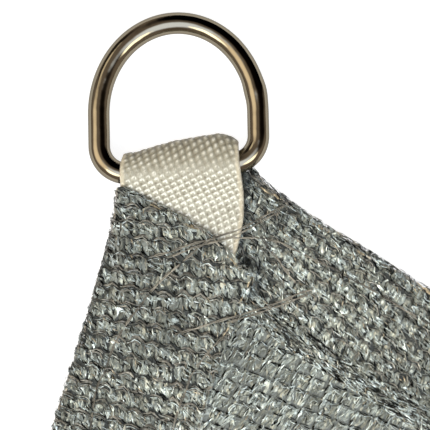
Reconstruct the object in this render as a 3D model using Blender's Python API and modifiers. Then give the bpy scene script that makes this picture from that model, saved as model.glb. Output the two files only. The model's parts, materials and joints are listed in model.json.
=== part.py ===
"""A square knitted shade sail, laid out flat with its hems up.

Each corner is cut off square to a webbing loop, and the loop holds a welded D-ring.
One hem runs under the loop's two legs, and the hem of the next side is folded over them.
"""

from math import asin, atan, cos, pi, radians, sin, sqrt, tan

import bmesh
import bpy
from mathutils import Matrix, Vector

MM = 0.001

# The sail: four sides, each a shallow arc that is hollow towards the middle.
SIDE = 2940 * MM  # between two corner points, where the sides' lines would meet
END_SLOPE = radians(7.55)  # a side leaves its corner point this far inside the square
SIDE_STEPS = 16
LAYER = 1.2 * MM  # one layer of the knitted cloth
RIM_ROUNDING = 0.8 * MM
HEM_OVER = 41.5 * MM  # the hem's width where it is folded over the loop
HEM_UNDER = 37.0 * MM  # and at its other end, where it runs under the next loop

# A corner's own frame: u runs across the loop, v along it and out through the ring,
# and (0, 0) is the corner point. It is turned like this from the sail's square.
CORNER_TURN = radians(24.65)

# How the drawn-in corner bulges past the arc: rows of (distance from the corner point,
# outwards), in millimetres. The first row of each is where the corner is cut off.
BULGE_OVER = [(21.7, 2.95), (24.0, 2.75), (28.1, 1.7), (32.0, 1.5), (36.3, 0.75), (44.0, 0.5), (55.0, 0.0)]
BULGE_UNDER = [(34.6, 2.5), (38.0, 1.4), (42.4, 0.8), (53.0, 0.0)]

# The hem that is folded over the loop: rows of (distance of the row's outer end from the
# corner point, u and v of its inner end), in millimetres, from the loop down the hem.
FOLD_ROWS = [
    (23.6, -7.0, -21.4),
    (25.6, -1.5, -24.3),
    (28.0, 4.5, -27.2),
    (30.5, 11.9, -31.1),
    (34.0, 18.7, -35.7),
    (38.5, 25.4, -42.2),
    (43.5, 31.3, -46.6),
    (49.0, 29.8, -51.5),
    (55.0, 26.6, -59.2),
    (62.0, 23.3, -65.5),
    (70.0, 20.8, -72.5),
    (79.0, 18.2, -80.5),
]
FOLD_COLUMNS = 14
FOLD_STEPS = 2  # rows of the solid for each row above
FOLD_FOOT = 1.0 * MM  # the fold's solid reaches down into the hem below it
FOLD_INSET = 0.25 * MM

# The D-ring, bent from round wire: an elliptic bow on two legs and a bar.
WIRE = 6.35 * MM
WIRE_SIDES = 10
RING_HALF_WIDTH = 23.2 * MM  # to the middle of the wire, as the lengths below
BOW_HEIGHT = 26.6 * MM
BOW_STEPS = 20
LONG_LEG = 17.9 * MM
SHORT_LEG = 14.5 * MM
RING_CORNER = 8.1 * MM
RING_CORNER_STEPS = 5
BAR_SLOPE = atan((LONG_LEG - SHORT_LEG) / (2 * RING_HALF_WIDTH))  # of the bar in the ring
BAR_TURN = radians(5.4)  # of the bar in the corner's frame
BAR_MIDDLE = Vector((8.9 * MM, -16.1 * MM))  # u and v
BAR_HEIGHT = 6.8 * MM  # the bow's end rests on the floor

# The webbing loop: one strap from a leg, round the bar with room to spare, to the other leg.
STRAP_WIDTH = 34.9 * MM
STRAP = 1.3 * MM
STRAP_ACROSS = 4
STRAP_LEAN = tan(radians(3))
GAP = 0.3 * MM  # between pieces that touch
BAR_PLAY = 0.45 * MM  # between the bar and the strap above and below it
NOSE = (5.05 * MM, 8.8 * MM)  # how far the loop reaches past the bar, at its two edges
LEG_END = -33.0 * MM  # the legs' hidden ends, along v from the bar
LOWER_LEG = 2 * LAYER + GAP + STRAP / 2
UPPER_LEG = LOWER_LEG + STRAP + GAP
PRESSED = 0.15 * MM  # the legs have pressed a hollow this deep into the hem below
LOWER_RUN = 3.0 * MM  # the strap climbs from under the bar to the lower leg in this length
UPPER_RUN = 12.0 * MM  # and comes down from over the bar to the upper leg in this one

CORNERS = 4
TINY = 0.02 * MM  # shorter edges that the cuts leave are closed up


def smooth(x):
    """From 0 at 0 to 1 at 1, level at both ends."""
    x = min(max(x, 0.0), 1.0)
    return x * x * (3 - 2 * x)


def material(name, color, roughness, metallic=0.0):
    made = bpy.data.materials.new(name)
    made.use_nodes = True
    surface = made.node_tree.nodes["Principled BSDF"]
    surface.inputs["Base Color"].default_value = (*color, 1)
    surface.inputs["Roughness"].default_value = roughness
    surface.inputs["Metallic"].default_value = metallic
    return made


def corner_matrix(corner):
    """From a corner's own frame to the sail's."""
    turned = Matrix.Rotation(corner * 2 * pi / CORNERS, 4, "Z")
    return turned @ Matrix.Translation((-SIDE / 2, SIDE / 2, 0)) @ Matrix.Rotation(CORNER_TURN, 4, "Z")


def hollow(along):
    """How far a side lies inside the square, at this distance from its corner point."""
    radius = SIDE / (2 * sin(END_SLOPE))
    return sqrt(radius**2 - (along - SIDE / 2) ** 2) - radius * cos(END_SLOPE)


def side_point(along, outwards):
    """A point of the side that leaves the first corner downwards."""
    return Vector((-SIDE / 2 + hollow(along) - outwards, SIDE / 2 - along, 0))


def repeated(points):
    """One side's points, repeated around the sail."""
    return [Matrix.Rotation(k * 2 * pi / CORNERS, 4, "Z") @ p for k in range(CORNERS) for p in points]


def outline():
    leaving = [side_point(row[0] * MM, row[1] * MM) for row in BULGE_OVER]
    arriving = [side_point(SIDE - row[0] * MM, row[1] * MM) for row in reversed(BULGE_UNDER)]
    first, last = BULGE_OVER[-1][0] * MM, SIDE - BULGE_UNDER[-1][0] * MM
    between = [first + (last - first) * i / SIDE_STEPS for i in range(1, SIDE_STEPS)]
    return repeated(leaving + [side_point(along, 0) for along in between] + arriving)


def hem_outline():
    """The line where the hems' inner edges lie, with a mitre at each corner."""
    slope = tan(END_SLOPE)
    over, under = HEM_OVER / cos(END_SLOPE), HEM_UNDER / cos(END_SLOPE)
    start = (under + slope * over) / (1 - slope**2)  # both inner edges as lines through the mitre
    end = (over + slope * under) / (1 - slope**2)
    points = []
    for i in range(SIDE_STEPS):
        share = i / SIDE_STEPS
        along = start + (SIDE - start - end) * share
        points.append(side_point(along, -(over + (under - over) * share)))
    return repeated(points)


def plate(name, points, bottom, thickness, rounding):
    """A flat outline made a closed solid with rounded rims."""
    curve = bpy.data.curves.new(name, "CURVE")
    curve.dimensions = "2D"
    curve.fill_mode = "BOTH"
    curve.extrude = thickness / 2 - rounding
    curve.bevel_depth = rounding
    curve.bevel_resolution = 0
    curve.offset = -rounding
    spline = curve.splines.new("POLY")
    spline.points.add(len(points) - 1)
    for point, place in zip(spline.points, points):
        point.co = (place.x, place.y, 0, 1)
    spline.use_cyclic_u = True
    drawn = bpy.data.objects.new(name, curve)
    drawn.location.z = bottom + thickness / 2
    return as_mesh(drawn)


def as_mesh(drawn):
    """A curve object turned into a mesh object, with its caps welded on."""
    name = drawn.name
    bpy.context.scene.collection.objects.link(drawn)
    bpy.context.view_layer.update()
    mesh = bpy.data.meshes.new_from_object(drawn.evaluated_get(bpy.context.evaluated_depsgraph_get()))
    shape = bmesh.new()
    shape.from_mesh(mesh)
    bmesh.ops.remove_doubles(shape, verts=shape.verts, dist=0.000001)
    bmesh.ops.recalc_face_normals(shape, faces=shape.faces)
    shape.to_mesh(mesh)
    shape.free()
    solid = bpy.data.objects.new(name, mesh)
    solid.matrix_world = drawn.matrix_world
    bpy.data.objects.remove(drawn)
    solid.name = name
    return solid


def bar_v(u):
    return BAR_MIDDLE.y + tan(BAR_TURN) * (u - BAR_MIDDLE.x)


def strap_edges(v):
    """u of the strap's two edges at this v."""
    middle = BAR_MIDDLE.x + STRAP_LEAN * (BAR_MIDDLE.y - v)
    return middle - STRAP_WIDTH / 2, middle + STRAP_WIDTH / 2


def upper_height(from_bar):
    """Height of the strap's middle between the bar's top and the upper leg."""
    top = BAR_HEIGHT + WIRE / 2 + BAR_PLAY + STRAP / 2
    return top + (UPPER_LEG - top) * smooth(-from_bar / UPPER_RUN)


def lower_height(from_bar):
    below = BAR_HEIGHT - WIRE / 2 - BAR_PLAY - STRAP / 2
    return below + (LOWER_LEG - below) * smooth(-from_bar / LOWER_RUN)


def strap_path(across):
    """(distance from the bar along v, height) of the strap's middle, from the lower leg's
    end round the bar to the upper leg's end. across runs from 0 at one edge to 1."""
    reach = NOSE[0] + (NOSE[1] - NOSE[0]) * across
    rise = WIRE / 2 + BAR_PLAY + STRAP / 2
    lower = [LEG_END, LEG_END / 2, -LOWER_RUN * 2, -LOWER_RUN, -LOWER_RUN * 0.75]
    lower += [-LOWER_RUN * 0.5, -LOWER_RUN * 0.25]
    upper = [-UPPER_RUN * i / 8 for i in range(1, 9)] + [LEG_END * 0.6, LEG_END]
    path = [(d, lower_height(d)) for d in lower]
    for i in range(11):
        angle = radians(-90 + 18 * i)
        path.append((reach * cos(angle), BAR_HEIGHT + rise * sin(angle)))
    return path + [(d, upper_height(d)) for d in upper]


def grid(name, rows):
    """A surface through rows of points."""
    shape = bmesh.new()
    verts = [[shape.verts.new(p) for p in row] for row in rows]
    for low, high in zip(verts, verts[1:]):
        for i in range(len(low) - 1):
            shape.faces.new((low[i], low[i + 1], high[i + 1], high[i]))
    mesh = bpy.data.meshes.new(name)
    shape.to_mesh(mesh)
    shape.free()
    return bpy.data.objects.new(name, mesh)


def block(name, rows, floor):
    """A closed solid under a surface through rows of points, down to the floor's height."""
    top = grid(name, rows)
    shape = bmesh.new()
    shape.from_mesh(top.data)
    extruded = bmesh.ops.extrude_face_region(shape, geom=shape.faces[:])
    for item in extruded["geom"]:
        if isinstance(item, bmesh.types.BMVert):
            item.co.z = floor
    bmesh.ops.recalc_face_normals(shape, faces=shape.faces)
    shape.to_mesh(top.data)
    shape.free()
    return top


def webbing(corner):
    rows = []
    for i in range(STRAP_ACROSS + 1):
        across = i / STRAP_ACROSS
        row = []
        for from_bar, height in strap_path(across):
            low, high = strap_edges(BAR_MIDDLE.y + from_bar)
            u = low + (high - low) * across
            row.append((u, bar_v(u) + from_bar, height))
        rows.append(row)
    strap = grid(f"webbing_{corner + 1}", rows)
    strap.matrix_world = corner_matrix(corner)
    wall = strap.modifiers.new("thickness", "SOLIDIFY")
    wall.thickness = STRAP
    wall.offset = 0
    wall.use_even_offset = True
    return strap


def fold_height(u, v):
    """Top of the hem that is folded over the loop."""
    low, high = strap_edges(v)
    from_bar = v - bar_v(u)
    over_strap = upper_height(from_bar) + STRAP / 2 + GAP + LAYER
    under_hem_edge = -tan(radians(32.2)) * u - HEM_UNDER / cos(radians(32.2))
    resting = 2 * LAYER - 0.2 * MM + LAYER * smooth((v - under_hem_edge) / (5 * MM) + 0.5)
    beside = smooth(1 - (low - u - GAP) / (5 * MM)) * smooth(1 - (u - high - GAP) / (8 * MM))
    beyond = smooth(1 - (LEG_END - GAP - from_bar) / (10 * MM))
    return resting + (over_strap - resting) * beside * beyond


def fold(corner):
    """The end of a hem, from the sail's rim over the loop's legs to its free edge."""
    to_corner = corner_matrix(0).inverted()
    bulge = [(a * MM, b * MM) for a, b in BULGE_OVER]
    table = [FOLD_ROWS[0]]
    for above, below in zip(FOLD_ROWS, FOLD_ROWS[1:]):
        for i in range(1, FOLD_STEPS + 1):
            table.append(tuple(a + (b - a) * i / FOLD_STEPS for a, b in zip(above, below)))
    rows = []
    for along, inner_u, inner_v in table:
        along *= MM
        outwards = 0.0
        for (a, b), (c, d) in zip(bulge, bulge[1:]):
            if a <= along <= c:
                outwards = b + (d - b) * (along - a) / (c - a)
        outer = to_corner @ side_point(along, outwards - FOLD_INSET)
        inner = Vector((inner_u * MM, inner_v * MM, 0))
        row = []
        for i in range(FOLD_COLUMNS + 1):
            place = outer.lerp(inner, i / FOLD_COLUMNS)
            row.append((place.x, place.y, fold_height(place.x, place.y)))
        rows.append(row)
    piece = block(f"fold_{corner + 1}", rows, FOLD_FOOT)
    piece.matrix_world = corner_matrix(corner)
    return piece


def pocket(corner):
    """The room for the loop between its hem above and the hem below."""
    rows = []
    for i in range(STRAP_ACROSS + 1):
        across = i / STRAP_ACROSS
        row = []
        steps = 20
        start, end = LEG_END - GAP, -2.5 * MM
        for j in range(steps + 1):
            from_bar = start + (end - start) * sin(pi / 2 * j / steps)
            low, high = strap_edges(BAR_MIDDLE.y + from_bar)
            u = low - 1.2 * GAP + (high - low + 2.4 * GAP) * across
            row.append((u, bar_v(u) + from_bar, upper_height(from_bar) + STRAP / 2 + GAP))
        rows.append(row)
    room = block(f"pocket_{corner + 1}", rows, 2 * LAYER - PRESSED)
    room.matrix_world = corner_matrix(corner)
    return room


def ring_points():
    """The wire's middle line, with the bar's middle at (0, 0) and the bar along x."""
    half = RING_HALF_WIDTH
    points = []
    for i in range(BOW_STEPS):
        angle = pi * (i + 0.5) / BOW_STEPS
        points.append(Vector((half * cos(angle), BOW_HEIGHT * sin(angle))))
    for side, leg, span in ((-1, LONG_LEG, pi / 2 + BAR_SLOPE), (1, SHORT_LEG, pi / 2 - BAR_SLOPE)):
        back = RING_CORNER * tan(span / 2)
        middle = Vector((side * (half - RING_CORNER), back - leg))
        start = pi if side < 0 else 2 * pi - span
        for i in range(RING_CORNER_STEPS + 1):
            angle = start + span * i / RING_CORNER_STEPS
            points.append(middle + RING_CORNER * Vector((cos(angle), sin(angle))))
    bar = Vector((0, -(LONG_LEG + SHORT_LEG) / 2))
    return [Matrix.Rotation(-BAR_SLOPE, 2) @ (p - bar) for p in points]


def ring(corner):
    points = ring_points()
    curve = bpy.data.curves.new("ring", "CURVE")
    curve.dimensions = "3D"
    curve.twist_mode = "Z_UP"
    curve.bevel_depth = WIRE / 2
    curve.bevel_resolution = WIRE_SIDES // 2 - 2
    spline = curve.splines.new("POLY")
    spline.points.add(len(points) - 1)
    for point, place in zip(spline.points, points):
        point.co = (place.x, place.y, 0, 1)
        point.tilt = pi / WIRE_SIDES
    spline.use_cyclic_u = True
    drawn = bpy.data.objects.new(f"d_ring_{corner + 1}", curve)
    reach = max(p.y for p in points)
    lie = Matrix.Rotation(-asin((BAR_HEIGHT - WIRE / 2) / reach), 4, "X")
    place = Matrix.Translation((BAR_MIDDLE.x, BAR_MIDDLE.y, BAR_HEIGHT))
    drawn.matrix_world = corner_matrix(corner) @ place @ Matrix.Rotation(BAR_TURN, 4, "Z") @ lie
    solid = as_mesh(drawn)
    solid.data.shade_smooth()
    return solid


def combined(target, helpers, name, pieces, operation):
    """Cuts the pieces from the target, or joins them to it, as one collection."""
    group = bpy.data.collections.new(name)
    helpers.children.link(group)
    for piece in pieces:
        group.objects.link(piece)
        piece.hide_render = True
        piece.display_type = "WIRE"
    step = target.modifiers.new(name, "BOOLEAN")
    step.operation = operation
    step.solver = "EXACT"
    step.operand_type = "COLLECTION"
    step.collection = group


def cloth(helpers):
    """The sail in one piece: a single layer, doubled at the hems, with four folded corners."""
    sail = plate("sail_cloth", outline(), 0, 2 * LAYER, RIM_ROUNDING)
    recess = plate("recess", hem_outline(), LAYER, 3 * LAYER, 0)
    combined(sail, helpers, "middle", [recess], "DIFFERENCE")
    combined(sail, helpers, "folds", [fold(corner) for corner in range(CORNERS)], "UNION")
    combined(sail, helpers, "pockets", [pocket(corner) for corner in range(CORNERS)], "DIFFERENCE")
    sail.modifiers.new("tiny edges", "WELD").merge_threshold = TINY
    return sail


def main():
    for old in list(bpy.data.objects):
        bpy.data.objects.remove(old, do_unlink=True)
    parts = bpy.data.collections.new("shade_sail")
    helpers = bpy.data.collections.new("shade_sail_cutters")
    bpy.context.scene.collection.children.link(parts)
    bpy.context.scene.collection.children.link(helpers)
    knit = material("Knitted shade cloth", (0.135, 0.150, 0.155), 0.62)
    polyester = material("Polyester webbing", (0.72, 0.68, 0.58), 0.75)
    steel = material("Polished steel", (0.56, 0.53, 0.48), 0.16, metallic=1.0)
    pieces = [(cloth(helpers), knit)]
    for corner in range(CORNERS):
        pieces += [(webbing(corner), polyester), (ring(corner), steel)]
    for piece, finish in pieces:
        parts.objects.link(piece)
        piece.data.materials.clear()
        piece.data.materials.append(finish)


main()
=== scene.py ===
"""The looks of the shade sail: knitted tape cloth, webbing loops, welded D-rings, sewing thread and the stage.

It is laid out as a Blender add-on and run as a script. Sizes are in metres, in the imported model's
frame. A corner has its own frame (u, v), in which the solids are drawn: u runs to the right in
the photo, v towards the ring, and the sides of the cloth would meet at (0, 0).
"""

import json
from math import asin, atan, cos, pi, radians, sin, tan

import bpy
import numpy as np
from bpy.props import FloatProperty, FloatVectorProperty, PointerProperty
from mathutils import Matrix, Vector
from mathutils.bvhtree import BVHTree

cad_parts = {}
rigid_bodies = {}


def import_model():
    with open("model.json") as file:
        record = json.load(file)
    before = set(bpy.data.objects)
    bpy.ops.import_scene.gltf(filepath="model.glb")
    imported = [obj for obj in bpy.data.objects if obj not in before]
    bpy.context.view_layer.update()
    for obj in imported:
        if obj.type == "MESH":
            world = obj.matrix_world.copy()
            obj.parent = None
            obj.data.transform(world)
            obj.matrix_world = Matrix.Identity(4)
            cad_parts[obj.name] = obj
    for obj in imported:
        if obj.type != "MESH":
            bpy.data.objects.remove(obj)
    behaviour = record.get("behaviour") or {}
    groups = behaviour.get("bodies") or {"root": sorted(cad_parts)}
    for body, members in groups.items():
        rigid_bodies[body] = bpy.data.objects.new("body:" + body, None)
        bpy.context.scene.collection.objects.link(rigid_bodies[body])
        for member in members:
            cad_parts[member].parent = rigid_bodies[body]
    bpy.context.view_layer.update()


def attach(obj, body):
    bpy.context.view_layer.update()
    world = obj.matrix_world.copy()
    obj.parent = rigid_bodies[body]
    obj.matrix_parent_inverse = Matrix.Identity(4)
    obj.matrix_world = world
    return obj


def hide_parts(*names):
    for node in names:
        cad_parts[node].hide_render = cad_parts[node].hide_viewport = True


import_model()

bl_info = {
    "name": "Shade sail",
    "version": (1, 0, 0),
    "blender": (4, 5, 0),
    "location": "View3D > Sidebar > Shade sail",
    "description": "Dresses a packed shade sail with knitted cloth, webbing, steel and thread",
    "category": "Object",
}

MM = 0.001
CORNERS = 4

# The sizes of the solids, repeated from their source.
SIDE = 2940 * MM
END_SLOPE = radians(7.55)  # of a hollow side where it meets the corner
LAYER = 1.2 * MM
HEM_OVER = 41.5 * MM
HEM_UNDER = 37.0 * MM
CORNER_TURN = radians(24.65)
# How a hem's outer fold stands out near the tip: distance down the side, and how far, in mm.
BULGE_OVER = [(21.7, 2.95), (24.0, 2.75), (28.1, 1.7), (32.0, 1.5), (36.3, 0.75), (44.0, 0.5), (55.0, 0.0)]
BULGE_UNDER = [(34.6, 2.5), (38.0, 1.4), (42.4, 0.8), (53.0, 0.0)]
# The free edge of the hem that is folded over the loop: distance down its side, u and v, in mm.
FOLD_ROWS = [
    (23.6, -7.0, -21.4), (25.6, -1.5, -24.3), (28.0, 4.5, -27.2), (30.5, 11.9, -31.1),
    (34.0, 18.7, -35.7), (38.5, 25.4, -42.2), (43.5, 31.3, -46.6), (49.0, 29.8, -51.5),
    (55.0, 26.6, -59.2), (62.0, 23.3, -65.5), (70.0, 20.8, -72.5), (79.0, 18.2, -80.5),
]
# The cut that squares the tip off begins and ends where the two outer folds do.
OVER_START = 23.6 * MM
UNDER_START = 34.6 * MM
UNDER_SLOPE = radians(32.2)  # of the hem under the fold, near the tip
WIRE = 6.35 * MM
RING_HALF_WIDTH = 23.2 * MM
BOW_HEIGHT = 26.6 * MM
LONG_LEG = 17.9 * MM
SHORT_LEG = 14.5 * MM
RING_CORNER = 8.1 * MM
BAR_SLOPE = atan((LONG_LEG - SHORT_LEG) / (2 * RING_HALF_WIDTH))
BAR_TURN = radians(5.4)  # from the corner's u
BAR_MIDDLE = Vector((8.9 * MM, -16.1 * MM))
BAR_HEIGHT = 6.8 * MM
STRAP_WIDTH = 34.9 * MM
STRAP = 1.3 * MM
STRAP_LEAN = tan(radians(3))
GAP = 0.3 * MM
BAR_PLAY = 0.45 * MM
LEG_END = -33.0 * MM  # from the bar
LOWER_LEG = 2 * LAYER + GAP + STRAP / 2
UPPER_LEG = LOWER_LEG + STRAP + GAP
LOWER_RUN = 3.0 * MM  # how soon each leg comes to its own height
UPPER_RUN = 12.0 * MM

# How far the finely knitted corner reaches from the corner point: down each of its hems, and
# down the middle, square to the loop. The plain hems lap over it by a little.
OVER_REACH = 103 * MM
UNDER_REACH = 131 * MM
PANEL_REACH = 101 * MM
LAP = 1.2 * MM

# The knit: a stitch along its row, and a row.
STITCH = 5.1 * MM
ROW = 4.55 * MM


def linear(code):
    """An sRGB hex colour as linear light."""
    parts = [int(code[i : i + 2], 16) / 255 for i in (1, 3, 5)]
    return tuple(c / 12.92 if c <= 0.04045 else ((c + 0.055) / 1.055) ** 2.4 for c in parts)


# ---------------------------------------------------------------- numbers on arrays


def picked(i, j, seed):
    """A steady random number from -1 to 1 for each pair of whole numbers."""
    n = (i.astype(np.int64) * 374761393 + j.astype(np.int64) * 668265263 + seed * 144269504) & 0xFFFFFFFF
    n = ((n ^ (n >> 13)) * 1274126177) & 0xFFFFFFFF
    n = ((n ^ (n >> 15)) * 2246822519) & 0xFFFFFFFF
    return ((n ^ (n >> 16)) & 0xFFFFFF) / 0x7FFFFF - 1


def soft(x, y, seed):
    """Smooth noise from -1 to 1, with one hill or hollow to a unit."""
    i, j = np.floor(x), np.floor(y)
    f, g = x - i, y - j
    f, g = f * f * (3 - 2 * f), g * g * (3 - 2 * g)
    low = picked(i, j, seed) * (1 - f) + picked(i + 1, j, seed) * f
    high = picked(i, j + 1, seed) * (1 - f) + picked(i + 1, j + 1, seed) * f
    return low * (1 - g) + high * g


def smooth(x):
    """A soft step from 0 at 0 to 1 at 1."""
    x = np.clip(x, 0.0, 1.0)
    return x * x * (3 - 2 * x)


def ramp(low, high, x):
    """A soft step from 0 at low to 1 at high."""
    return smooth((x - low) / (high - low))


def hump(distance, width):
    """1 at no distance, and next to nothing at two widths."""
    return np.exp(-((distance / width) ** 2))


def off(x, middle):
    """Distance from the nearest repeat of middle, in whole units."""
    return (x - middle + 0.5) % 1 - 0.5


def lengths(line):
    """How far along a line each of its points lies."""
    return np.concatenate([[0], np.cumsum(np.linalg.norm(np.diff(line, axis=0), axis=-1))])


def directions(line):
    """The way a line runs at each of its points."""
    ahead = np.gradient(line, axis=0)
    return ahead / np.linalg.norm(ahead, axis=-1)[:, None]


# ---------------------------------------------------------------- the knit

# The tape is one grey. These are the shades its crumpled film is painted in: painted glints, painted shade in its
# gaps and folds, and tones between.
TAPE = {
    "silver": np.array(linear("#dfecee")),  # a glint
    "grey": np.array(linear("#9da19a")),
    "tan": np.array(linear("#a09d96")),
    "gold": np.array(linear("#c0b298")),  # a warm glint
    "brown": np.array(linear("#7e7a72")),
    # painted shade, laid under the tapes and in folds
    "deep": np.array(linear("#4a4c4a")),
    # painted shade in a gap or a fold
    "dark": np.array(linear("#121313")),  # a gap or a fold
    "film": np.array(linear("#777a76")),
}
# Pairs of shades: folds painted dark as shade, film up to a painted glint, painted glints, and tan up to a painted
# warm glint.
FOLD_SHADE, FILM_AND_GLINT, PAINTED_GLINT, WARM_GLINT = ("dark", "deep"), ("grey", "silver"), ("silver", "silver"), ("tan", "gold")

# The rims of the laid tape in a stitch: distance below its upper edge, two shades and half width in mm. The dark
# rims are painted shade, and the silver one is a painted glint.
BANDS = (
    (0.0, "brown", "tan", 0.27),
    (0.09, "tan", "grey", 0.17),
    (0.15, "dark", "deep", 0.12),
    (0.21, "silver", "tan", 0.13),
    (0.27, "tan", "brown", 0.20),
    (0.34, "dark", "deep", 0.11),
)
BAND_MIDDLE = 0.27  # where a band is highest, in its stitch
CUP_MIDDLE = 0.86  # and a puff


def arch(a, b, seed):
    """Where the laid tape's upper edge runs in each stitch, as a share of the row."""
    fall = (a - 0.25) % 1
    phase = np.where(fall < 0.58, fall / 1.16, 0.5 + (fall - 0.58) / 0.84)
    return 0.455 - (0.10 + 0.06 * soft(a * 0.7, b * 0.7, seed)) * np.cos(2 * pi * phase)


def shaded(low, high, share, more):
    """Colours between two of the tape's, each made lighter or darker by its own share."""
    share = np.clip(share, 0, 1)[..., None]
    return (TAPE[low] + (TAPE[high] - TAPE[low]) * share) * (1 + more)[:, None]


class Tapes:
    """Lengths of crumpled tape: middle lines in stitches and rows, with lifts and widths in mm."""

    def __init__(self):
        self.sets = []

    def lay(self, a, b, lift, half, colour, ridge, rough, tips=0.7, shown=None):
        """One tape to each row of a, b and lift; half, ridge, colour and rough are one to a tape.

        tips is how wide a tape is at its ends against its middle, and shown picks out tapes."""
        a, b, lift = np.broadcast_arrays(a, b, lift)
        parts = (a, b, lift, half, ridge, colour, rough + 0 * ridge)
        if shown is not None:
            parts = (part[shown] for part in parts)
        self.sets.append((*parts, tips))


class Stitches(Tapes):
    """Tapes laid stitch by stitch: i and j number the stitches, and jumble is how far each tape strays."""

    def __init__(self, i, j, seed, jumble):
        super().__init__()
        self.i, self.j, self.seed, self.jumble = i, j, seed, jumble
        self.left = (i + 0.12 * jumble * self.stray(0, 51))[:, None]
        self.top = (j + 0.10 * jumble * self.stray(0, 52))[:, None]

    def stray(self, k, more):
        """A random number for tape k of each stitch; more tells apart what it is used for."""
        return picked(self.i * 7 + k, self.j * 5 + more, self.seed + 11 * more)

    def each(self, k, more):
        return self.stray(k, more)[:, None]

    def kink(self, steps, k, more):
        """A random number for each step of tape k."""
        i, j = self.i[:, None] * 13 + k, self.j[:, None] * 17 + np.arange(steps)[None, :]
        return picked(i, j, self.seed + 7 * more)

    def strew(self, count, more, x, y, turn, size, half, lift, shades, light, rough,
              tips=0.25, shown=-1.0, steps=4, dome=0.0, bend=0.0):
        """Short lengths strewn about each stitch, from the random numbers at more on.

        x, y, turn, size, half and lift are each a middle and a spread: the place in the stitch and
        the row, degrees from the row, the length in stitches, and half the width and the lift in mm.
        light is the share of the second shade, its spread, and the spread of how light the tape is.
        dome makes the lift fall away from a puff's middle."""
        t = np.linspace(0, 1, steps)[None, :]
        for k in range(count):
            about = lambda pair, n: (pair[0] + pair[1] * self.stray(k, more + n))[:, None]
            across, down, angle, long = about(x, 0), about(y, 1), np.radians(about(turn, 2)), about(size, 3)
            curve = about((bend, bend), 4) * np.sin(pi * t)
            run = long * (t - 0.5)
            a = across + run * np.cos(angle) - curve * np.sin(angle) + 0.03 * self.kink(steps, k, more)
            b = down + run * np.sin(angle) + curve * np.cos(angle)
            height = about(lift, 5) - dome * (across - CUP_MIDDLE) ** 2 + 0.12 * np.sin(pi * t)
            height = height - 0.5 * np.clip(b - 1.30, 0, 1) * (dome > 0)
            share, more_light = light[0] + light[1] * self.stray(k, more + 6), light[2] * self.stray(k, more + 7)
            wide = half[0] * (1 + half[1] * self.stray(k, more + 8))
            self.lay(self.left + a, self.top + b, height, wide, shaded(*shades, share, more_light),
                     0.9 * self.stray(k, more + 9), rough, tips, self.stray(k, more + 10) > shown)


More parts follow.
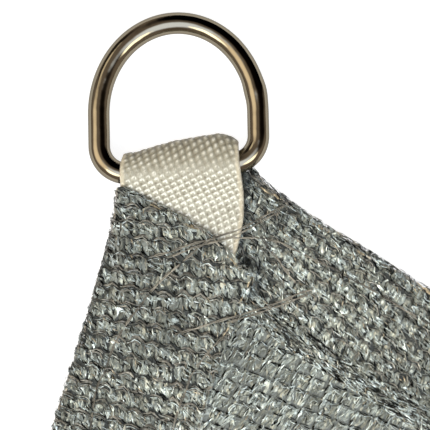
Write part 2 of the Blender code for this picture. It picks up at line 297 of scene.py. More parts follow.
def hem_tapes(i, j, seed, jumble, lean, warm, band, fine):
    """The back of the knit, in scales: a band of laid tape, and under it a cup of crumpled film.

    A cup is a puff of broad film, with flakes and creases on it that carry painted glints, and its lower rim stands
    over a gap painted dark as shade; the cups are parted by dark folds, also painted shade. lean is how far the
    flakes turn from the row, in degrees, warm how many of them are tan, and band how wide the laid tape is, against
    its full width: where it is narrow, the hem is drawn tight."""
    steps = 5 if fine else 3
    tapes = Stitches(i, j, seed, jumble)
    stray, each, kink = tapes.stray, tapes.each, tapes.kink
    for m, (shift, low, high, half) in enumerate(BANDS if fine else BANDS[:3]):
        t = np.linspace(-0.18, 0.72, steps)[None, :] + 0.14 * jumble * each(m, 9)
        slope = 0.10 * band + (0.20 + 0.6 * (1 - band)) * jumble * each(m, 10)
        edge = tapes.top + arch(t + tapes.left, j[:, None], seed) + shift
        b = edge + 0.06 * jumble * each(m, 1) + slope * (t - BAND_MIDDLE) + 0.04 * jumble * kink(steps, m, 1)
        dome = np.sqrt(np.clip(1 - ((t - BAND_MIDDLE) / 0.60) ** 2, 0, 1))
        high_point = 0.98 - 0.05 * m + 0.14 * jumble * each(m, 8)
        lift = high_point * (0.40 + 0.60 * dome) + 0.10 * jumble * kink(steps, m, 2)
        colour = shaded(low, high, 0.4 + 0.5 * stray(m, 3) + 1.5 * (1 - band), 0.30 * stray(m, 4))
        tapes.lay(tapes.left + t, b, lift, half * band * (1 + 0.4 * stray(m, 2)), colour,
                  0.7 * stray(m, 5), 0.34 + 0.10 * stray(m, 6), tips=0.3, shown=stray(m, 7) > -0.7)
    # the cup: broad films from the laid tape down to the rim, which draw together there
    films = 5 if fine else 4
    t = np.linspace(0, 1, steps)[None, :]
    for k in range(films):
        place = (k + 0.5) / films + 0.08 * jumble * stray(k, 21)
        x_top = 0.10 + 1.12 * place + 0.16 * jumble * stray(k, 22)
        x_tip = 0.94 + 0.84 * (place - 0.50) + 0.16 * jumble * stray(k, 23)
        bow = 0.12 * (place - 0.5) * 2 + 0.10 * jumble * stray(k, 24)
        x = x_top[:, None] * (1 - t) + x_tip[:, None] * t + bow[:, None] * np.sin(pi * t)
        x = x + 0.04 * jumble * kink(steps, k, 3)
        top = arch(x_top, j, seed) + 0.14 + 0.05 * stray(k, 20)
        tip = 1.54 - 1.00 * (x_tip - 0.90) ** 2 + 0.06 * jumble * stray(k, 25)
        b = tapes.top + top[:, None] * (1 - t) + tip[:, None] * t
        # they stand highest in the middle of the cup, and turn under at the rim
        full = (1 - 0.45 * np.clip(np.abs(place - 0.52) * 2, 0, 1) ** 2) * (0.70 + 0.24 * jumble * stray(k, 26))
        lift = full[:, None] * (0.30 + 0.70 * np.sin(pi * np.clip(t * 0.80 + 0.08, 0, 1)) ** 0.8)
        lift = lift + 0.20 * jumble * kink(steps, k, 4) - 0.50 * ramp(0.86, 1.0, t)
        colour = shaded(*FILM_AND_GLINT, 0.02 + 0.30 * stray(k, 28), 0.35 * stray(k, 29))
        tapes.lay(tapes.left + x, b, lift, 0.70 * (1 + 0.35 * stray(k, 27)), colour,
                  0.9 * stray(k, 31), 0.28 + 0.09 * stray(k, 32), tips=0.6)
    # crumples and creases on the puff, with painted glints, and folds painted dark as shade
    tapes.strew(3 if fine else 2, 100, (0.86, 0.36), (1.02, 0.26), (lean, 50), (0.42, 0.14), (0.40, 0.35),
                (0.96, 0.14), FILM_AND_GLINT, (0.45, 0.55, 0.35), 0.24, tips=0.45, steps=3, dome=0.9)
    if fine:
        tapes.strew(6, 120, (0.86, 0.38), (1.02, 0.28), (lean, 45), (0.32, 0.14), (0.105, 0.4),
                    (1.10, 0.14), PAINTED_GLINT, (1.0, 0.0, 0.40), 0.20, dome=1.1)
        tapes.strew(2, 140, (0.80, 0.50), (0.95, 0.40), (lean, 40), (0.34, 0.12), (0.14, 0.4),
                    (1.08, 0.14), WARM_GLINT, (0.4 + warm, 0.5, 0.3), 0.24, shown=0.2 - warm, dome=1.1)
    tapes.strew(5 if fine else 1, 160, (0.66, 0.42), (1.04, 0.40), (lean - 6, 26), (0.36, 0.14), (0.13, 0.4),
                (1.16, 0.12), FOLD_SHADE, (0.05, 0.25, 0), 0.5, tips=0.1, dome=1.0)
    if fine and band < 1:
        # where the hem is drawn tight, its rows show as fine straight pairs of painted highlight and painted shade
        tapes.strew(3, 300, (0.6, 0.5), (0.20, 0.24), (-4, 9), (0.62, 0.14), (0.085, 0.35),
                    (1.14, 0.10), ("silver", "grey"), (0.5, 0.6, 0.35), 0.24, steps=3, dome=0.5)
        tapes.strew(2, 320, (0.6, 0.5), (0.26, 0.24), (-4, 9), (0.60, 0.14), (0.10, 0.35),
                    (1.10, 0.10), FOLD_SHADE, (0.1, 0.3, 0), 0.5, steps=3, dome=0.5)
    # the gap under the rim, painted dark as shade, deepest on its left flank
    x = 0.28 + 0.64 * t + 0.10 * each(0, 41)
    y = 1.53 - 1.25 * (x - 0.92) ** 2 + 0.07 * jumble * kink(steps, 0, 12)
    tapes.lay(tapes.left + x, tapes.top + y, 0.66 + 0.14 * each(0, 42) - 0.15 * t, 0.19 * (1 + 0.4 * stray(0, 43)),
              shaded(*FOLD_SHADE, 0.1 + 0.2 * stray(0, 44), 0 * stray(0, 44)), 0.3 * stray(0, 45), 0.6,
              tips=0.1, shown=stray(0, 46) > -0.7)
    return tapes


def panel_tapes(i, j, seed, jumble, fine):
    """The face of the knit: film stretched from rib to rib, and thin turned edges painted light as highlights."""
    films, steps = (3, 4) if fine else (2, 3)
    tapes = Stitches(i, j, seed, 0.8 * jumble)
    stray, each, kink = tapes.stray, tapes.each, tapes.kink
    t = np.linspace(0, 1, steps)[None, :]
    for k in range(films):  # from one course to the next
        start = 0.10 + (1.0 / films) * k + 0.08 * jumble * stray(k, 21)
        x = start[:, None] - (0.20 + 0.20 * jumble * each(k, 22)) * (t - 0.5) + 0.05 * jumble * kink(steps, k, 1)
        lift = 0.04 + 0.10 * each(k, 24) + 0.20 * kink(steps, k, 2)
        colour = shaded(*FILM_AND_GLINT, 0.06 + 0.40 * stray(k, 26), 0.30 * stray(k, 27))
        tapes.lay(tapes.left + x, tapes.top + 0.06 + 0.90 * t, lift, 1.05 * (1 + 0.2 * stray(k, 25)), colour,
                  0.9 * stray(k, 28), 0.30 + 0.10 * stray(k, 29), tips=0.7)
    if fine:
        # the film crumples between the ribs
        tapes.strew(2, 200, (0.52, 0.28), (0.52, 0.26), (100, 60), (0.40, 0.12), (0.42, 0.35),
                    (0.36, 0.12), FILM_AND_GLINT, (0.15, 0.45, 0.30), 0.28, tips=0.5, steps=3)
        # courses: a fold painted dark as shade, with a painted highlight on the edge under it, from rib to rib
        tapes.strew(2, 230, (0.50, 0.16), (0.05, 0.09), (3, 12), (0.56, 0.14), (0.13, 0.4),
                    (0.62, 0.08), FOLD_SHADE, (0.20, 0.35, 0), 0.5, tips=0.15, shown=-0.8)
        tapes.strew(3, 245, (0.50, 0.30), (0.16, 0.10), (4, 26), (0.44, 0.14), (0.125, 0.4),
                    (0.62, 0.10), FILM_AND_GLINT, (0.75, 0.4, 0.3), 0.24, shown=-0.7, bend=0.05)
    # ribs: a fold painted dark as shade, with painted highlights on the edges beside it, in broken lengths that lean
    # more than the rib does
    tapes.strew(2, 260, (-0.06, 0.05), (0.50, 0.36), (106, 8), (0.50, 0.12), (0.15, 0.4),
                (0.62, 0.08), FOLD_SHADE, (0.15, 0.35, 0), 0.5, tips=0.15)
    tapes.strew(3, 275, (0.04, 0.08), (0.50, 0.44), (110, 10), (0.54, 0.16), (0.17, 0.35),
                (0.70, 0.08), FILM_AND_GLINT, (0.85, 0.4, 0.3), 0.22, bend=0.03)
    if fine:
        tapes.strew(5, 290, (0.50, 0.30), (0.50, 0.36), (104, 34), (0.38, 0.16), (0.115, 0.4),
                    (0.60, 0.10), FILM_AND_GLINT, (0.75, 0.5, 0.35), 0.22, bend=0.08, shown=-0.5)
        tapes.strew(2, 400, (0.46, 0.30), (0.50, 0.34), (104, 30), (0.34, 0.14), (0.12, 0.4),
                    (0.62, 0.08), FOLD_SHADE, (0.2, 0.4, 0), 0.5, shown=-0.4)
        # painted glints, and painted warm glints, on the film
        tapes.strew(2, 305, (0.16, 0.22), (0.20, 0.30), (100, 50), (0.26, 0.08), (0.34, 0.35),
                    (0.70, 0.10), PAINTED_GLINT, (1.0, 0.0, 0.30), 0.20, tips=0.5, steps=3, shown=0.0)
        tapes.strew(1, 320, (0.16, 0.26), (0.50, 0.50), (108, 20), (0.36, 0.10), (0.15, 0.3),
                    (0.74, 0.08), WARM_GLINT, (0.7, 0.5, 0.2), 0.24, shown=0.1)
        # knots, where rib and course cross, painted dark as shade
        tapes.strew(2, 335, (-0.04, 0.08), (0.04, 0.08), (30, 60), (0.15, 0.04), (0.24, 0.3),
                    (0.76, 0.08), FOLD_SHADE, (0.05, 0.15, 0), 0.5, tips=0.5, steps=3, shown=-0.2)
    return tapes


def edge_tapes(line, seed, offsets, length, shades, wander, half, high=0.62):
    """Tapes that run along a line in (u, v), each set at its own distance to the left of it."""
    tapes = Tapes()
    gone = lengths(line)
    ahead = directions(line)
    steps = np.arange(7)[None, :]
    t = steps / steps.max()
    for k, offset in enumerate(offsets):
        first = np.arange(0, gone[-1] - length / 2, length * 0.85)
        n = np.arange(len(first))
        own = lambda more: picked(n * 3 + k, n * 0 + more, seed + more)
        s = (first + length * 0.3 * own(1))[:, None] + length * (1 + 0.4 * own(2))[:, None] * t
        s = np.clip(s, 0, gone[-1])
        u, v, du, dv = (np.interp(s, gone, row) for row in (line[:, 0], line[:, 1], ahead[:, 0], ahead[:, 1]))
        aside = offset + wander * own(3)[:, None] + 1.6 * wander * own(4)[:, None] * (t - 0.5)
        aside = aside + 0.14 * MM * picked(n[:, None] * 11 + k, steps, seed + 5)
        lift = high + 0.16 * own(6)[:, None] + 0.22 * picked(n[:, None] * 13 + k, steps, seed + 7)
        lift = lift - 0.3 * (np.abs(t - 0.5) * 2) ** 4
        choice = np.stack([TAPE[shade] for shade in shades])[(n * 5 + k * 3 + (own(12) > 0)) % len(shades)]
        tapes.lay(u - dv * aside, v + du * aside, lift, half * (1 + 0.4 * own(9)),
                  choice * (1 + 0.3 * own(8))[:, None], 0.8 * own(10), 0.32 + 0.08 * own(11), tips=0.25)
    return tapes


def laid_tapes(tapes, place, surface, keep, shade):
    """Points, faces, colours and roughness of the tapes as three-sided lengths laid on the cloth.

    place turns stitches and rows into (u, v), surface gives a point over (u, v) for a lift,
    keep says which places are on the cloth, and shade how light each place is."""
    points, faces, colours, roughs = [], [], [], []
    count = 0
    for a, b, lift, half, ridge, colour, rough, tips in tapes.sets:
        middle = a.shape[1] // 2
        u, v = place(a, b)
        on = keep(u[:, middle], v[:, middle])
        u, v, lift, half, ridge = u[on], v[on], lift[on] * MM, half[on, None] * MM, ridge[on, None]
        colour, rough = colour[on], rough[on]
        number, steps = u.shape
        if not number:
            continue
        if shade is not None:
            colour = colour * shade(u[:, middle], v[:, middle])[:, None]
        du, dv = np.gradient(u, axis=1), np.gradient(v, axis=1)
        size = np.maximum(np.hypot(du, dv), 1e-9)
        cu, cv = -dv / size, du / size
        tape, step = np.arange(number)[:, None], np.arange(steps)[None, :]
        taper = tips + (1 - tips) * np.sin(pi * step / (steps - 1)) ** 0.6
        wide = half * taper * (1 + 0.22 * picked(tape, step, 903 + count % 83))
        rise = 0.80 * wide
        twist = 0.55 * rise * picked(tape, step, 901 + count % 97)
        crest = np.clip(ridge + 0.5 * picked(tape, step, 902 + count % 89), -0.9, 0.9) * 0.7
        # two edges that lie on the cloth, or stand a little on one of them, and a crest between
        left = surface(u + cu * wide, v + cv * wide, lift - rise * 0.5 + twist)
        top = surface(u + cu * wide * crest, v + cv * wide * crest, lift + rise * 0.5)
        right = surface(u - cu * wide, v - cv * wide, lift - rise * 0.5 - twist)
        made = np.stack([left, top, right], axis=2)  # tape, step, edge, xyz
        index = np.arange(number * steps * 3).reshape(number, steps, 3) + count
        p, q = index[:, :-1], index[:, 1:]
        for k in range(3):
            n = (k + 1) % 3
            faces += np.stack([p[..., k], q[..., k], q[..., n], p[..., n]], axis=-1).reshape(-1, 4).tolist()
        faces += index[:, 0].tolist() + index[:, -1][:, ::-1].tolist()
        points.append(made.reshape(-1, 3))
        colours.append(np.repeat(colour, steps * 3, axis=0))
        roughs.append(np.repeat(rough, steps * 3))
        count += number * steps * 3
    return np.concatenate(points), faces, np.concatenate(colours), np.concatenate(roughs)


def whole_cells(stitches, rows):
    """The whole numbers of all stitches that a part of the cloth can hold."""
    i = np.arange(int(np.floor(stitches.min())) - 1, int(np.ceil(stitches.max())) + 1)
    j = np.arange(int(np.floor(rows.min())) - 2, int(np.ceil(rows.max())) + 1)
    return [grid.ravel() for grid in np.meshgrid(i, j, indexing="ij")]


# ---------------------------------------------------------------- the solids' forms


def corner_matrix(corner):
    """From a corner's own frame to the sail's."""
    turned = Matrix.Rotation(corner * 2 * pi / CORNERS, 4, "Z")
    return turned @ Matrix.Translation((-SIDE / 2, SIDE / 2, 0)) @ Matrix.Rotation(CORNER_TURN, 4, "Z")


def placed(points, corner):
    """Points of a corner's own frame in the sail's frame."""
    matrix = np.array(corner_matrix(corner))
    return points @ matrix[:3, :3].T + matrix[:3, 3]


def hollow(along):
    """How far a side lies inside the square, at this distance from its corner point."""
    radius = SIDE / (2 * sin(END_SLOPE))
    return np.sqrt(radius**2 - (along - SIDE / 2) ** 2) - radius * cos(END_SLOPE)


def side_xy(along, outwards):
    """Points of the side that leaves the first corner downwards, in the sail's frame."""
    return np.stack([-SIDE / 2 + hollow(along) - outwards, SIDE / 2 - along], axis=-1)


def quarter(points, turns):
    """Points turned about the sail's middle by quarter turns."""
    x, y = points[..., 0], points[..., 1]
    for _ in range(turns % CORNERS):
        x, y = -y, x
    return np.stack([x, y], axis=-1)


def to_corner(points):
    """Points of the sail's frame in the first corner's own."""
    x, y = points[..., 0] + SIDE / 2, points[..., 1] - SIDE / 2
    c, s = cos(CORNER_TURN), sin(CORNER_TURN)
    return np.stack([c * x + s * y, c * y - s * x], axis=-1)


def from_corner(points):
    """The other way round."""
    c, s = cos(CORNER_TURN), sin(CORNER_TURN)
    u, v = points[..., 0], points[..., 1]
    return np.stack([c * u - s * v - SIDE / 2, s * u + c * v + SIDE / 2], axis=-1)


def looked_up(x, rows, column=1):
    """A value of a table whose rows are in mm, at x along its first column."""
    return np.interp(x, *(np.array([row[k] for row in rows]) * MM for k in (0, column)))


def over_edges(along):
    """The hem that is folded over the loop: its outer and inner edge in the corner's frame.

    Near the tip the inner edge is the fold's own line, and it settles into the hem's within 24 mm.
    The third value is how far ahead the rows run down the side on their way in."""
    outer = to_corner(side_xy(along, looked_up(along, BULGE_OVER)))
    last, *end = (value * MM for value in FOLD_ROWS[-1])
    end = np.array(end)
    lead = SIDE / 2 - from_corner(end)[1] - last
    width = HEM_OVER / cos(END_SLOPE)
    inner = to_corner(side_xy(along + lead, -width))
    shift = end - to_corner(side_xy(np.array(last + lead), -width))
    inner = inner + shift * (1 - smooth((along - last) / (24 * MM)))[..., None]
    folded = np.stack([looked_up(along, FOLD_ROWS, k) for k in (1, 2)], axis=-1)
    return outer, np.where((along < last)[..., None], folded, inner), lead


def outer_tips():
    """The two ends of the cut that squares the corner off."""
    first, last = BULGE_OVER[0], BULGE_UNDER[0]
    over = side_xy(np.array(first[0] * MM), first[1] * MM)
    under = quarter(side_xy(np.array(SIDE - last[0] * MM), last[1] * MM), -1)
    return to_corner(over), to_corner(under)


def bar_v(u):
    """Where the middle of the ring's bar runs, over u."""
    return BAR_MIDDLE.y + tan(BAR_TURN) * (u - BAR_MIDDLE.x)


def strap_edges(v):
    """The strap's two edges, along u, at this v."""
    middle = BAR_MIDDLE.x + STRAP_LEAN * (BAR_MIDDLE.y - v)
    return middle - STRAP_WIDTH / 2, middle + STRAP_WIDTH / 2


def upper_height(from_bar):
    """Height of the upper leg's middle layer at a distance from the bar, which is below 0 on the cloth."""
    top = BAR_HEIGHT + WIRE / 2 + BAR_PLAY + STRAP / 2
    return top + (UPPER_LEG - top) * smooth(-from_bar / UPPER_RUN)


def lower_height(from_bar):
    """The same of the lower leg."""
    below = BAR_HEIGHT - WIRE / 2 - BAR_PLAY - STRAP / 2
    return below + (LOWER_LEG - below) * smooth(-from_bar / LOWER_RUN)


def fold_height(u, v):
    """Top of the hem that is folded over the loop."""
    low, high = strap_edges(v)
    from_bar = v - bar_v(u)
    over_strap = upper_height(from_bar) + STRAP / 2 + GAP + LAYER
    under_hem_edge = -tan(UNDER_SLOPE) * u - HEM_UNDER / cos(UNDER_SLOPE)
    resting = 2 * LAYER - 0.2 * MM + LAYER * smooth((v - under_hem_edge) / (5 * MM) + 0.5)
    beside = smooth(1 - (low - u - GAP) / (5 * MM)) * smooth(1 - (u - high - GAP) / (8 * MM))
    beyond = smooth(1 - (LEG_END - GAP - from_bar) / (10 * MM))
    return resting + (over_strap - resting) * beside * beyond


# ---------------------------------------------------------------- mesh making

# What points carry for the materials: the kind of attribute, and where it keeps its values.
KINDS = {
    "Tape": ("FLOAT_COLOR", "color"),
    "Gloss": ("FLOAT", "value"),
    "Grain": ("FLOAT2", "vector"),
    "Selvage": ("FLOAT", "value"),
    "Bent": ("FLOAT", "value"),
    "Weave": ("FLOAT2", "vector"),
}


def clear_choice():
    """Leaves nothing selected, so that an operator acts on its own piece alone."""
    for thing in bpy.context.selected_objects:
        thing.select_set(False)


def counts(length, spacing):
    """How many points a line of this length takes."""
    return max(int(round(length / spacing)) + 1, 3)


def new_piece(name, points, faces, finish, carried=None):
    """A smooth mesh object of its own; carried has a row of values to each point, by their title."""
    mesh = bpy.data.meshes.new(name)
    mesh.from_pydata(points.tolist(), [], faces)
    mesh.materials.append(finish)
    mesh.polygons.foreach_set("use_smooth", np.ones(len(mesh.polygons), dtype=bool))
    for title, values in (carried or {}).items():
        kind, slot = KINDS[title]
        layer = mesh.attributes.new(title, kind, "POINT")
        layer.data.foreach_set(slot, np.asarray(values, dtype=np.float32).ravel())
    mesh.update()
    piece = bpy.data.objects.new(name, mesh)
    bpy.context.scene.collection.objects.link(piece)
    return piece


def numbered(grid):
    """The points of a grid as whole numbers."""
    return np.arange(grid.shape[0] * grid.shape[1]).reshape(grid.shape[:2])


def quads(index):
    """Faces over a grid, one to each of its cells."""
    corners = [index[:-1, :-1], index[:-1, 1:], index[1:, 1:], index[1:, :-1]]
    return np.stack(corners, axis=-1).reshape(-1, 4)


def closed_grid(index):
    """Faces over a grid, closed underneath by a flat face to each of its rows."""
    corners = [index[:-1, 1:], index[1:, 1:], index[1:, :-1], index[:-1, :-1]]
    faces = np.stack(corners, axis=-1).reshape(-1, 4).tolist()
    faces += [[index[k + 1, 0], index[k + 1, -1], index[k, -1], index[k, 0]] for k in range(len(index) - 1)]
    return faces + [list(index[0])[::-1], list(index[-1])]


class Gathered:
    """Points, faces and what each point carries, gathered into one mesh."""

    def __init__(self):
        self.points, self.faces, self.creased, self.carried, self.count = [], [], [], {}, 0

    def gather(self, points, faces, creased=False, **carried):
        """faces number these points from 0, and meet at creases or smoothly."""
        self.points.append(points)
        self.faces += [[k + self.count for k in face] for face in faces]
        self.creased += [creased] * len(faces)
        for title, values in carried.items():
            self.carried.setdefault(title, []).append(values)
        self.count += len(points)

    def build(self, name, finish):
        carried = {title: np.concatenate(parts) for title, parts in self.carried.items()}
        piece = new_piece(name, np.concatenate(self.points), self.faces, finish, carried)
        piece.data.polygons.foreach_set("use_smooth", ~np.array(self.creased))
        return piece


class Knit(Gathered):
    """The ground and the tapes of one piece of knitted cloth."""

    def add_ground(self, ground, shade):
        index = numbered(ground)
        tone = np.broadcast_to(TAPE[shade], (index.size, 3))
        self.gather(ground.reshape(-1, 3), closed_grid(index), Tape=tone, Gloss=np.full(index.size, 0.6))

    def add_tapes(self, tapes, place, surface, keep, shade=None):
        points, faces, tone, rough = laid_tapes(tapes, place, surface, keep, shade)
        self.gather(points, faces, True, Tape=tone, Gloss=rough)

    def knitted(self, name, corner, finish, tint):
        self.points = [placed(np.concatenate(self.points), corner)]
        tone = np.concatenate(self.carried["Tape"]) * tint
        self.carried["Tape"] = [np.concatenate([tone, np.ones((len(tone), 1))], axis=-1)]
        return self.build(name, finish)


# ---------------------------------------------------------------- the knitted corner

ROWS_FAN_FROM, ROWS_FAN_BY = radians(4), radians(10)  # how the folded hem's rows turn as they go down
FAN_MIDDLE = 30 * MM
ROW_LEAN = 0.23  # of a stitch to each row
FOLD_RADIUS = 1.2 * MM
GROUND_DROP = 0.55 * MM  # the ground of the knit lies this far under the solid's face
PANEL_TOP = LAYER - 0.35 * MM
PANEL_START = 56 * MM  # where the single cloth comes out from under the hems' crossing


def fan_angle(down):
    """How far a row of the folded hem is turned, this far down it."""
    return ROWS_FAN_FROM + ROWS_FAN_BY * smooth((down - 25 * MM) / (65 * MM))


def over_place(a, b):
    """From stitches and rows to (u, v) on the hem that is folded over: its rows fan out downwards."""
    down = np.linspace(-20 * MM, 140 * MM, 400)
    level = np.interp(b, down * np.cos(fan_angle(down) / 2) / ROW, down)
    angle = fan_angle(level)
    u = (a - ROW_LEAN * b) * STITCH * np.cos(angle) - FAN_MIDDLE
    return u, -level - np.tan(angle) * (u + FAN_MIDDLE)


def over_count(u, v):
    """The other way round."""
    level = -v
    for _ in range(6):
        level = -v - np.tan(fan_angle(level)) * (u + FAN_MIDDLE)
    angle = fan_angle(level)
    b = level * np.cos(angle / 2) / ROW
    return (u + FAN_MIDDLE) / np.cos(angle) / STITCH + ROW_LEAN * b, b


class TurnedRows:
    """Rows that run straight, this many degrees below the corner's u, with their own stitch and row."""

    def __init__(self, degrees, stitch, row, lean):
        self.c, self.s = cos(radians(degrees)), sin(radians(degrees))
        self.stitch, self.row, self.lean = stitch, row, lean

    def place(self, a, b):
        along, down = (a - self.lean * b) * self.stitch, b * self.row
        return along * self.c - down * self.s, -along * self.s - down * self.c

    def count(self, u, v):
        along, down = u * self.c - v * self.s, -u * self.s - v * self.c
        b = down / self.row
        return along / self.stitch + self.lean * b, b


UNDER_ROWS = TurnedRows(42.0, 5.05 * MM, 4.55 * MM, 0.047)
PANEL_ROWS = TurnedRows(20.6, 5.0 * MM, 4.62 * MM, -0.035)

# Soft patches on the corner's cloth: u, v and radius in mm, and the share of light lost, or gained.
SHADES = [
    # painted shade and shadow in the hollows beside the webbing
    (27.6, -18.4, 1.2, 0.6), (27.8, -21.0, 1.3, 0.65), (27.9, -23.6, 1.2, 0.6), (27.7, -26.2, 1.1, 0.5),
    (26.9, -42.2, 1.1, 0.8), (28.6, -43.7, 1.3, 0.85),
    # darker patches on the folded hem, and lighter ones on the hems
    (-2.4, -26.0, 7, 0.28), (-7.0, -44.8, 9, 0.28), (7.5, -44.8, 8, 0.16), (31.0, -21.0, 5, 0.26),
    (35.0, -30.0, 6, 0.16), (2.0, -61.8, 9, 0.18), (9.0, -84.0, 8, -0.24), (48.5, -50.0, 11, -0.22),
    (64.0, -59.0, 11, -0.18), (51.0, -66.0, 8, -0.18), (75.0, -85.0, 9, 0.14),
    # the single cloth is darker under the hems' crossing
    (28.0, -68.0, 8, 0.22), (25.0, -77.0, 8, 0.12),
]


def patches(u, v):
    """How light the cloth is at these places, as a share of its own shade."""
    light = np.ones_like(u)
    for x, y, radius, share in SHADES:
        away = np.hypot(u - x * MM, v - y * MM) / (radius * MM)
        light = light * (1 - share * (1 - smooth((away - 0.6) / 0.8)))
    return light


class Hem:
    """A hem's edges as lines in the corner's frame, and its face over them."""

    def __init__(self, outer, inner, top):
        self.outer, self.inner, self.top = outer, inner, top

    def inset(self, line, u, v):
        """Signed distance from a line to places, the way across it, and how far past its ends they lie."""
        flat = np.stack([u.ravel(), v.ravel()], axis=-1)
        nearest = np.empty(len(flat), dtype=int)
        at_once = 20000  # in parts, to spare memory
        for start in range(0, len(flat), at_once):
            part = slice(start, start + at_once)
            far = (flat[part, 0, None] - line[None, :, 0]) ** 2 + (flat[part, 1, None] - line[None, :, 1]) ** 2
            nearest[part] = far.argmin(axis=1)
        along = directions(line)
        inwards = np.stack([-along[:, 1], along[:, 0]], axis=-1)
        gap = flat - line[nearest]
        distance = (gap * inwards[nearest]).sum(axis=-1)
        over = np.abs((gap * along[nearest]).sum(axis=-1))
        return distance.reshape(u.shape), inwards[nearest].reshape(u.shape + (2,)), over.reshape(u.shape)

    def surface(self, u, v, lift):
        """A point over (u, v), lifted off the face, with the cloth rolled down at its outer fold.

        Tape that overruns the free inner edge is turned back at it, so the edge stays a line."""
        past, across, _ = self.inset(self.inner, u, v)
        overrun = 0.88 * np.maximum(past - 0.15 * MM, 0)
        u, v = u - across[..., 0] * overrun, v - across[..., 1] * overrun
        past = past - overrun
        lift = lift * (1 - 0.45 * smooth(past / (0.5 * MM) + 0.6))
        distance, inwards, _ = self.inset(self.outer, u, v)
        distance = distance - 0.35 * MM
        roll = np.clip((FOLD_RADIUS - distance) / FOLD_RADIUS, 0, 2.2)
        lift = lift * (1 - 0.25 * smooth(roll / 1.1))
        level = self.top(u, v) - GROUND_DROP - (LAYER - 0.5 * MM) * smooth(past / (0.9 * MM))
        back = FOLD_RADIUS - (FOLD_RADIUS + lift) * np.sin(roll) - distance
        back = np.where(roll > 0, back, 0)
        z = np.where(roll > 0, level - FOLD_RADIUS + (FOLD_RADIUS + lift) * np.cos(roll), level + lift)
        return np.stack([u + inwards[..., 0] * back, v + inwards[..., 1] * back, np.maximum(z, 0)], axis=-1)

    def shade(self, u, v):
        """Painted shade: the cloth is darkened towards its outer fold, where it turns from the light, and the
        patches darken or lighten it, with painted shade in its hollows.
        """
        distance, _, _ = self.inset(self.outer, u, v)
        return (0.26 + 0.74 * smooth(distance / (3.0 * MM) + 0.08)) * patches(u, v)

    def holds(self, u, v):
        outside, _, over = self.inset(self.outer, u, v)
        beyond, _, over_inner = self.inset(self.inner, u, v)
        return (outside > -0.9 * MM) & (beyond < 0.5 * MM) & (over < 1.2 * MM) & (over_inner < 1.2 * MM)

    def ground(self, columns):
        """A closed sheet under the tapes, from the rolled outer fold to the free inner edge."""
        rows = len(self.outer)
        reach = self.inner - self.outer
        width = np.linalg.norm(reach, axis=-1)[:, None]
        inwards = (reach / width)[:, None, :]
        angle = np.linspace(-pi / 2, pi / 2, 7)[:-1]
        radius = FOLD_RADIUS - 0.1 * MM
        inset = np.concatenate([
            np.broadcast_to(0.5 * MM + radius * (1 - np.cos(angle)), (rows, 6)),
            0.5 * MM + radius + (width - 0.7 * MM - radius) * np.linspace(0, 1, columns)[None, :],
            width - 0.05 * MM,
        ], axis=1)
        share = np.concatenate([(1 + np.sin(angle)) / 2, np.ones(columns), [0.0]])
        place = self.outer[:, None, :] + inwards * inset[..., None]
        z = (self.top(place[..., 0], place[..., 1]) - GROUND_DROP) * share[None, :]
        return np.concatenate([place, z[..., None]], axis=-1)[::2]


def over_hem():
    """The hem that is folded over the loop."""
    outer, inner, _ = over_edges(np.linspace(OVER_START, OVER_REACH, 190))
    return Hem(outer, inner, fold_height)


def under_hem():
    """The hem that lies under the fold, and on down the other side."""
    along = np.linspace(UNDER_START, UNDER_REACH, 230)
    width = HEM_UNDER / cos(END_SLOPE)
    outer = to_corner(quarter(side_xy(SIDE - along, looked_up(along, BULGE_UNDER)), -1))
    inner = to_corner(quarter(side_xy(SIDE - along, -width), -1))
    # at the cut the row turns towards the other tip, and it straightens within 34 mm
    first, last = outer_tips()
    fade = (1 - smooth((along - UNDER_START) / (34 * MM)))[:, None]
    inner = inner + (first + (last - first) * 0.03 - inner) * fade
    return Hem(outer[::-1], inner[::-1], lambda u, v: np.full_like(u, 2 * LAYER))


def panel_ground(over, under, spacing):
    """The single cloth between the hems, as far as the finely knitted part goes."""
    v = np.linspace(-PANEL_START, -PANEL_REACH, counts(PANEL_REACH - PANEL_START, spacing))

    def at_v(line):
        order = np.argsort(line[:, 1])
        return np.interp(v, line[order, 1], line[order, 0])

    left, right = at_v(over.inner) - 1.5 * MM, at_v(under.inner) + 1.5 * MM
    right = np.maximum(right, left + 2 * MM)
    across = np.linspace(0, 1, counts((right - left).max(), spacing))
    u = left[:, None] + (right - left)[:, None] * across[None, :]
    z = np.full_like(u, PANEL_TOP)
    z[0], z[-1], z[:, 0], z[:, -1] = 0, 0, 0, 0
    return np.stack([u, np.broadcast_to(v[:, None], u.shape), z], axis=-1), (v, left, right)


